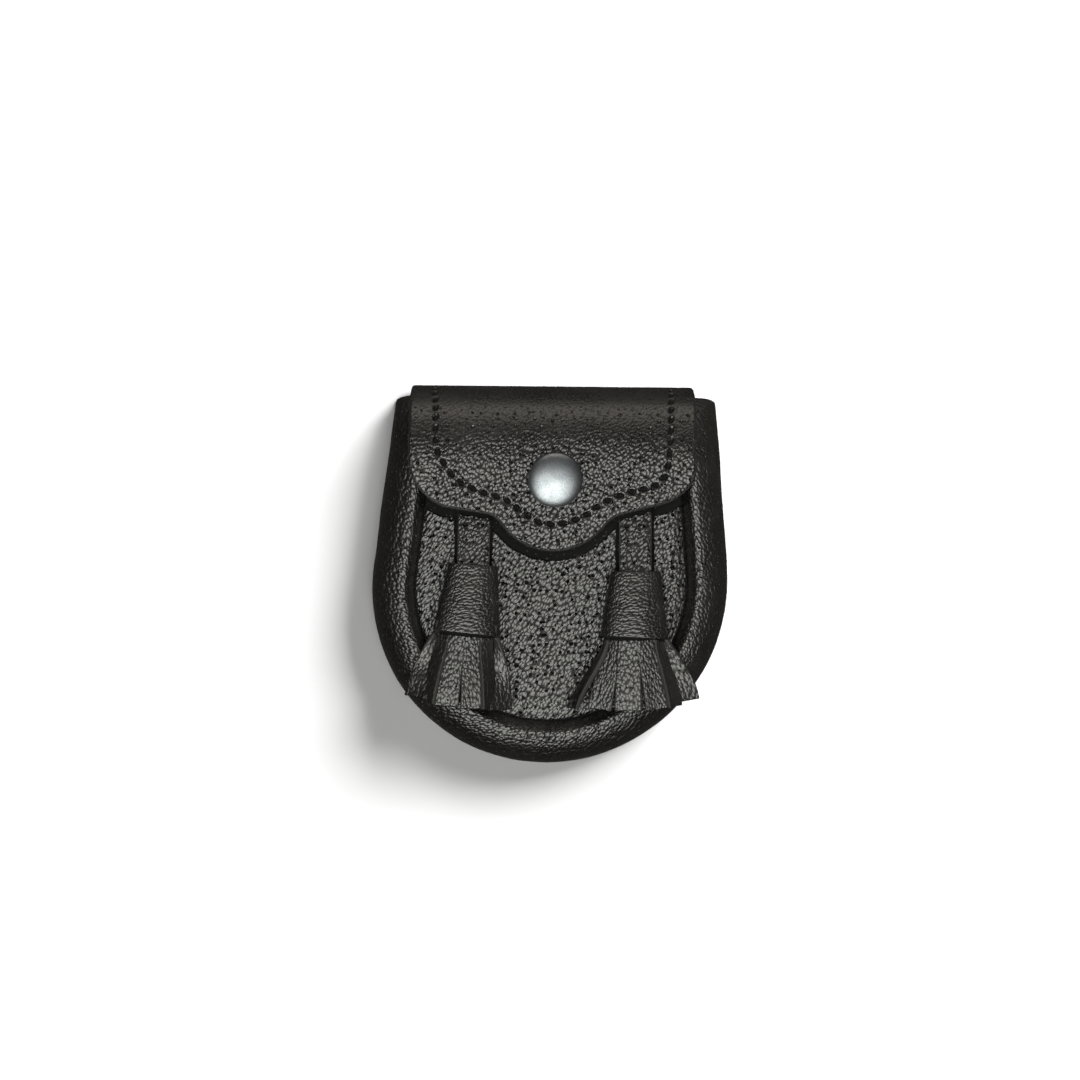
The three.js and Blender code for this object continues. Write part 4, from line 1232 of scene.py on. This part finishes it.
def add_camera():
    data = bpy.data.cameras.new("camera")
    camera = added("camera", data)
    data.sensor_width = 36
    data.lens = data.sensor_width * CAMERA_DISTANCE / (FRAME_PIXELS * PIXEL)
    data.clip_start, data.clip_end = 0.05, 20
    half = FRAME_PIXELS / 2
    target_x, target_y = (half - MIDDLE_PIXEL[0]) * PIXEL, (MIDDLE_PIXEL[1] - half) * PIXEL
    target = Vector((target_x, target_y, CAMERA_TARGET_HEIGHT))
    lean_x, lean_y = (math.tan(math.radians(a)) for a in CAMERA_LEAN)
    back = Vector((lean_x, lean_y, 1)).normalized() * CAMERA_DISTANCE
    aimed(camera, target + back, target, CAMERA_ROLL)
    bpy.context.scene.camera = camera


def add_light(name, place, target_height, size, power, colour=(1, 1, 1)):
    """A softbox aimed at a point over the pouch's middle, all in millimetres and watts."""
    data = bpy.data.lights.new(name, "AREA")
    data.shape = "RECTANGLE"
    data.size, data.size_y = size[0] * MM, size[1] * MM
    data.energy = power
    data.color = colour
    light = added(name, data)
    aimed(light, place, (0, 0, target_height))
    return light


def add_floor():
    mesh = bpy.data.meshes.new("floor")
    corners = [(x * FLOOR_REACH, y * FLOOR_REACH, 0) for x, y in ((-1, -1), (1, -1), (1, 1), (-1, 1))]
    mesh.from_pydata(corners, [], [(0, 1, 2, 3)])
    mesh.materials.append(floor_material())
    floor = added("floor", mesh)
    floor.visible_glossy = False


def add_world():
    scene = bpy.context.scene
    scene.world = bpy.data.worlds.new("studio")
    scene.world.use_nodes = True
    background = scene.world.node_tree.nodes["Background"]
    background.inputs["Color"].default_value = (1, 0.94, 0.86, 1)
    background.inputs["Strength"].default_value = 0.05
    scene.view_settings.view_transform = "Standard"
    scene.view_settings.look = "None"


def add_lights():
    softbox = add_light("front_softbox", (-90, -280, 850), 15, (900, 800), 8.9, (1, 1, 0.95))
    softbox.visible_diffuse = False  # it makes the leather shine and leaves the shadow to the key light
    fill = add_light("fill", (-100, -200, 900), 15, (500, 500), 4.6)
    fill.visible_glossy = False  # the photo shows no reflection of it, nor of the key light
    key = add_light("key", (560, 525, 720), 10, (600, 600), 30.0)
    key.visible_glossy = False
    back_glow = add_light("back_glow", (0, 880, 190), 20, (900, 460), 1.2, (1, 0.93, 0.84))
    back_glow.visible_diffuse = False  # the faint warm shine over the fold


def build():
    slant = math.radians(30)
    fold = [float(flap_run(TOP)) - 8, float(flap_run(TOP - 3)), float(flap_run(TOP - 19))]
    flap_leather = leather("flap_leather", 0.76, 1.5, -slant, 0.16, 0.33, 0.27, fold)
    roll_leather = leather("gusset_leather", 0.85, 1.5, 0.5, 0.17, 0.2, 0.28)
    panel_leather = leather("panel_leather", 0.76, 1.7, slant, 0.16, 0.34, 0.28)
    strap_leather = leather("strap_leather", 0.76, 1.8, -slant, 0.16, 0.34, 0.28)
    sleeve_leather = leather("sleeve_leather", 0.72, 1.35, 1.05, 0.12, 0.15, 0.28)
    thong_leather = leather("thong_leather", 0.76, 1.6, 0.0, 0.13, 0.15, 0.3)
    stitches, place = back_and_flap(flap_leather)
    thread(stitches, place, thread_material())
    gusset(roll_leather)
    front_panel(panel_leather)
    for tassel in TASSELS:
        strap(tassel, strap_leather)
        sleeve(tassel, sleeve_leather)
        fringe(tassel, thong_leather)
    snap_cap(snap_material("satin_nickel", True))
    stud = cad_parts["snap_stud"]
    stud.data.materials.clear()
    stud.data.materials.append(snap_material("stud_nickel", False))


add_camera()
add_floor()
add_world()
add_lights()
build()
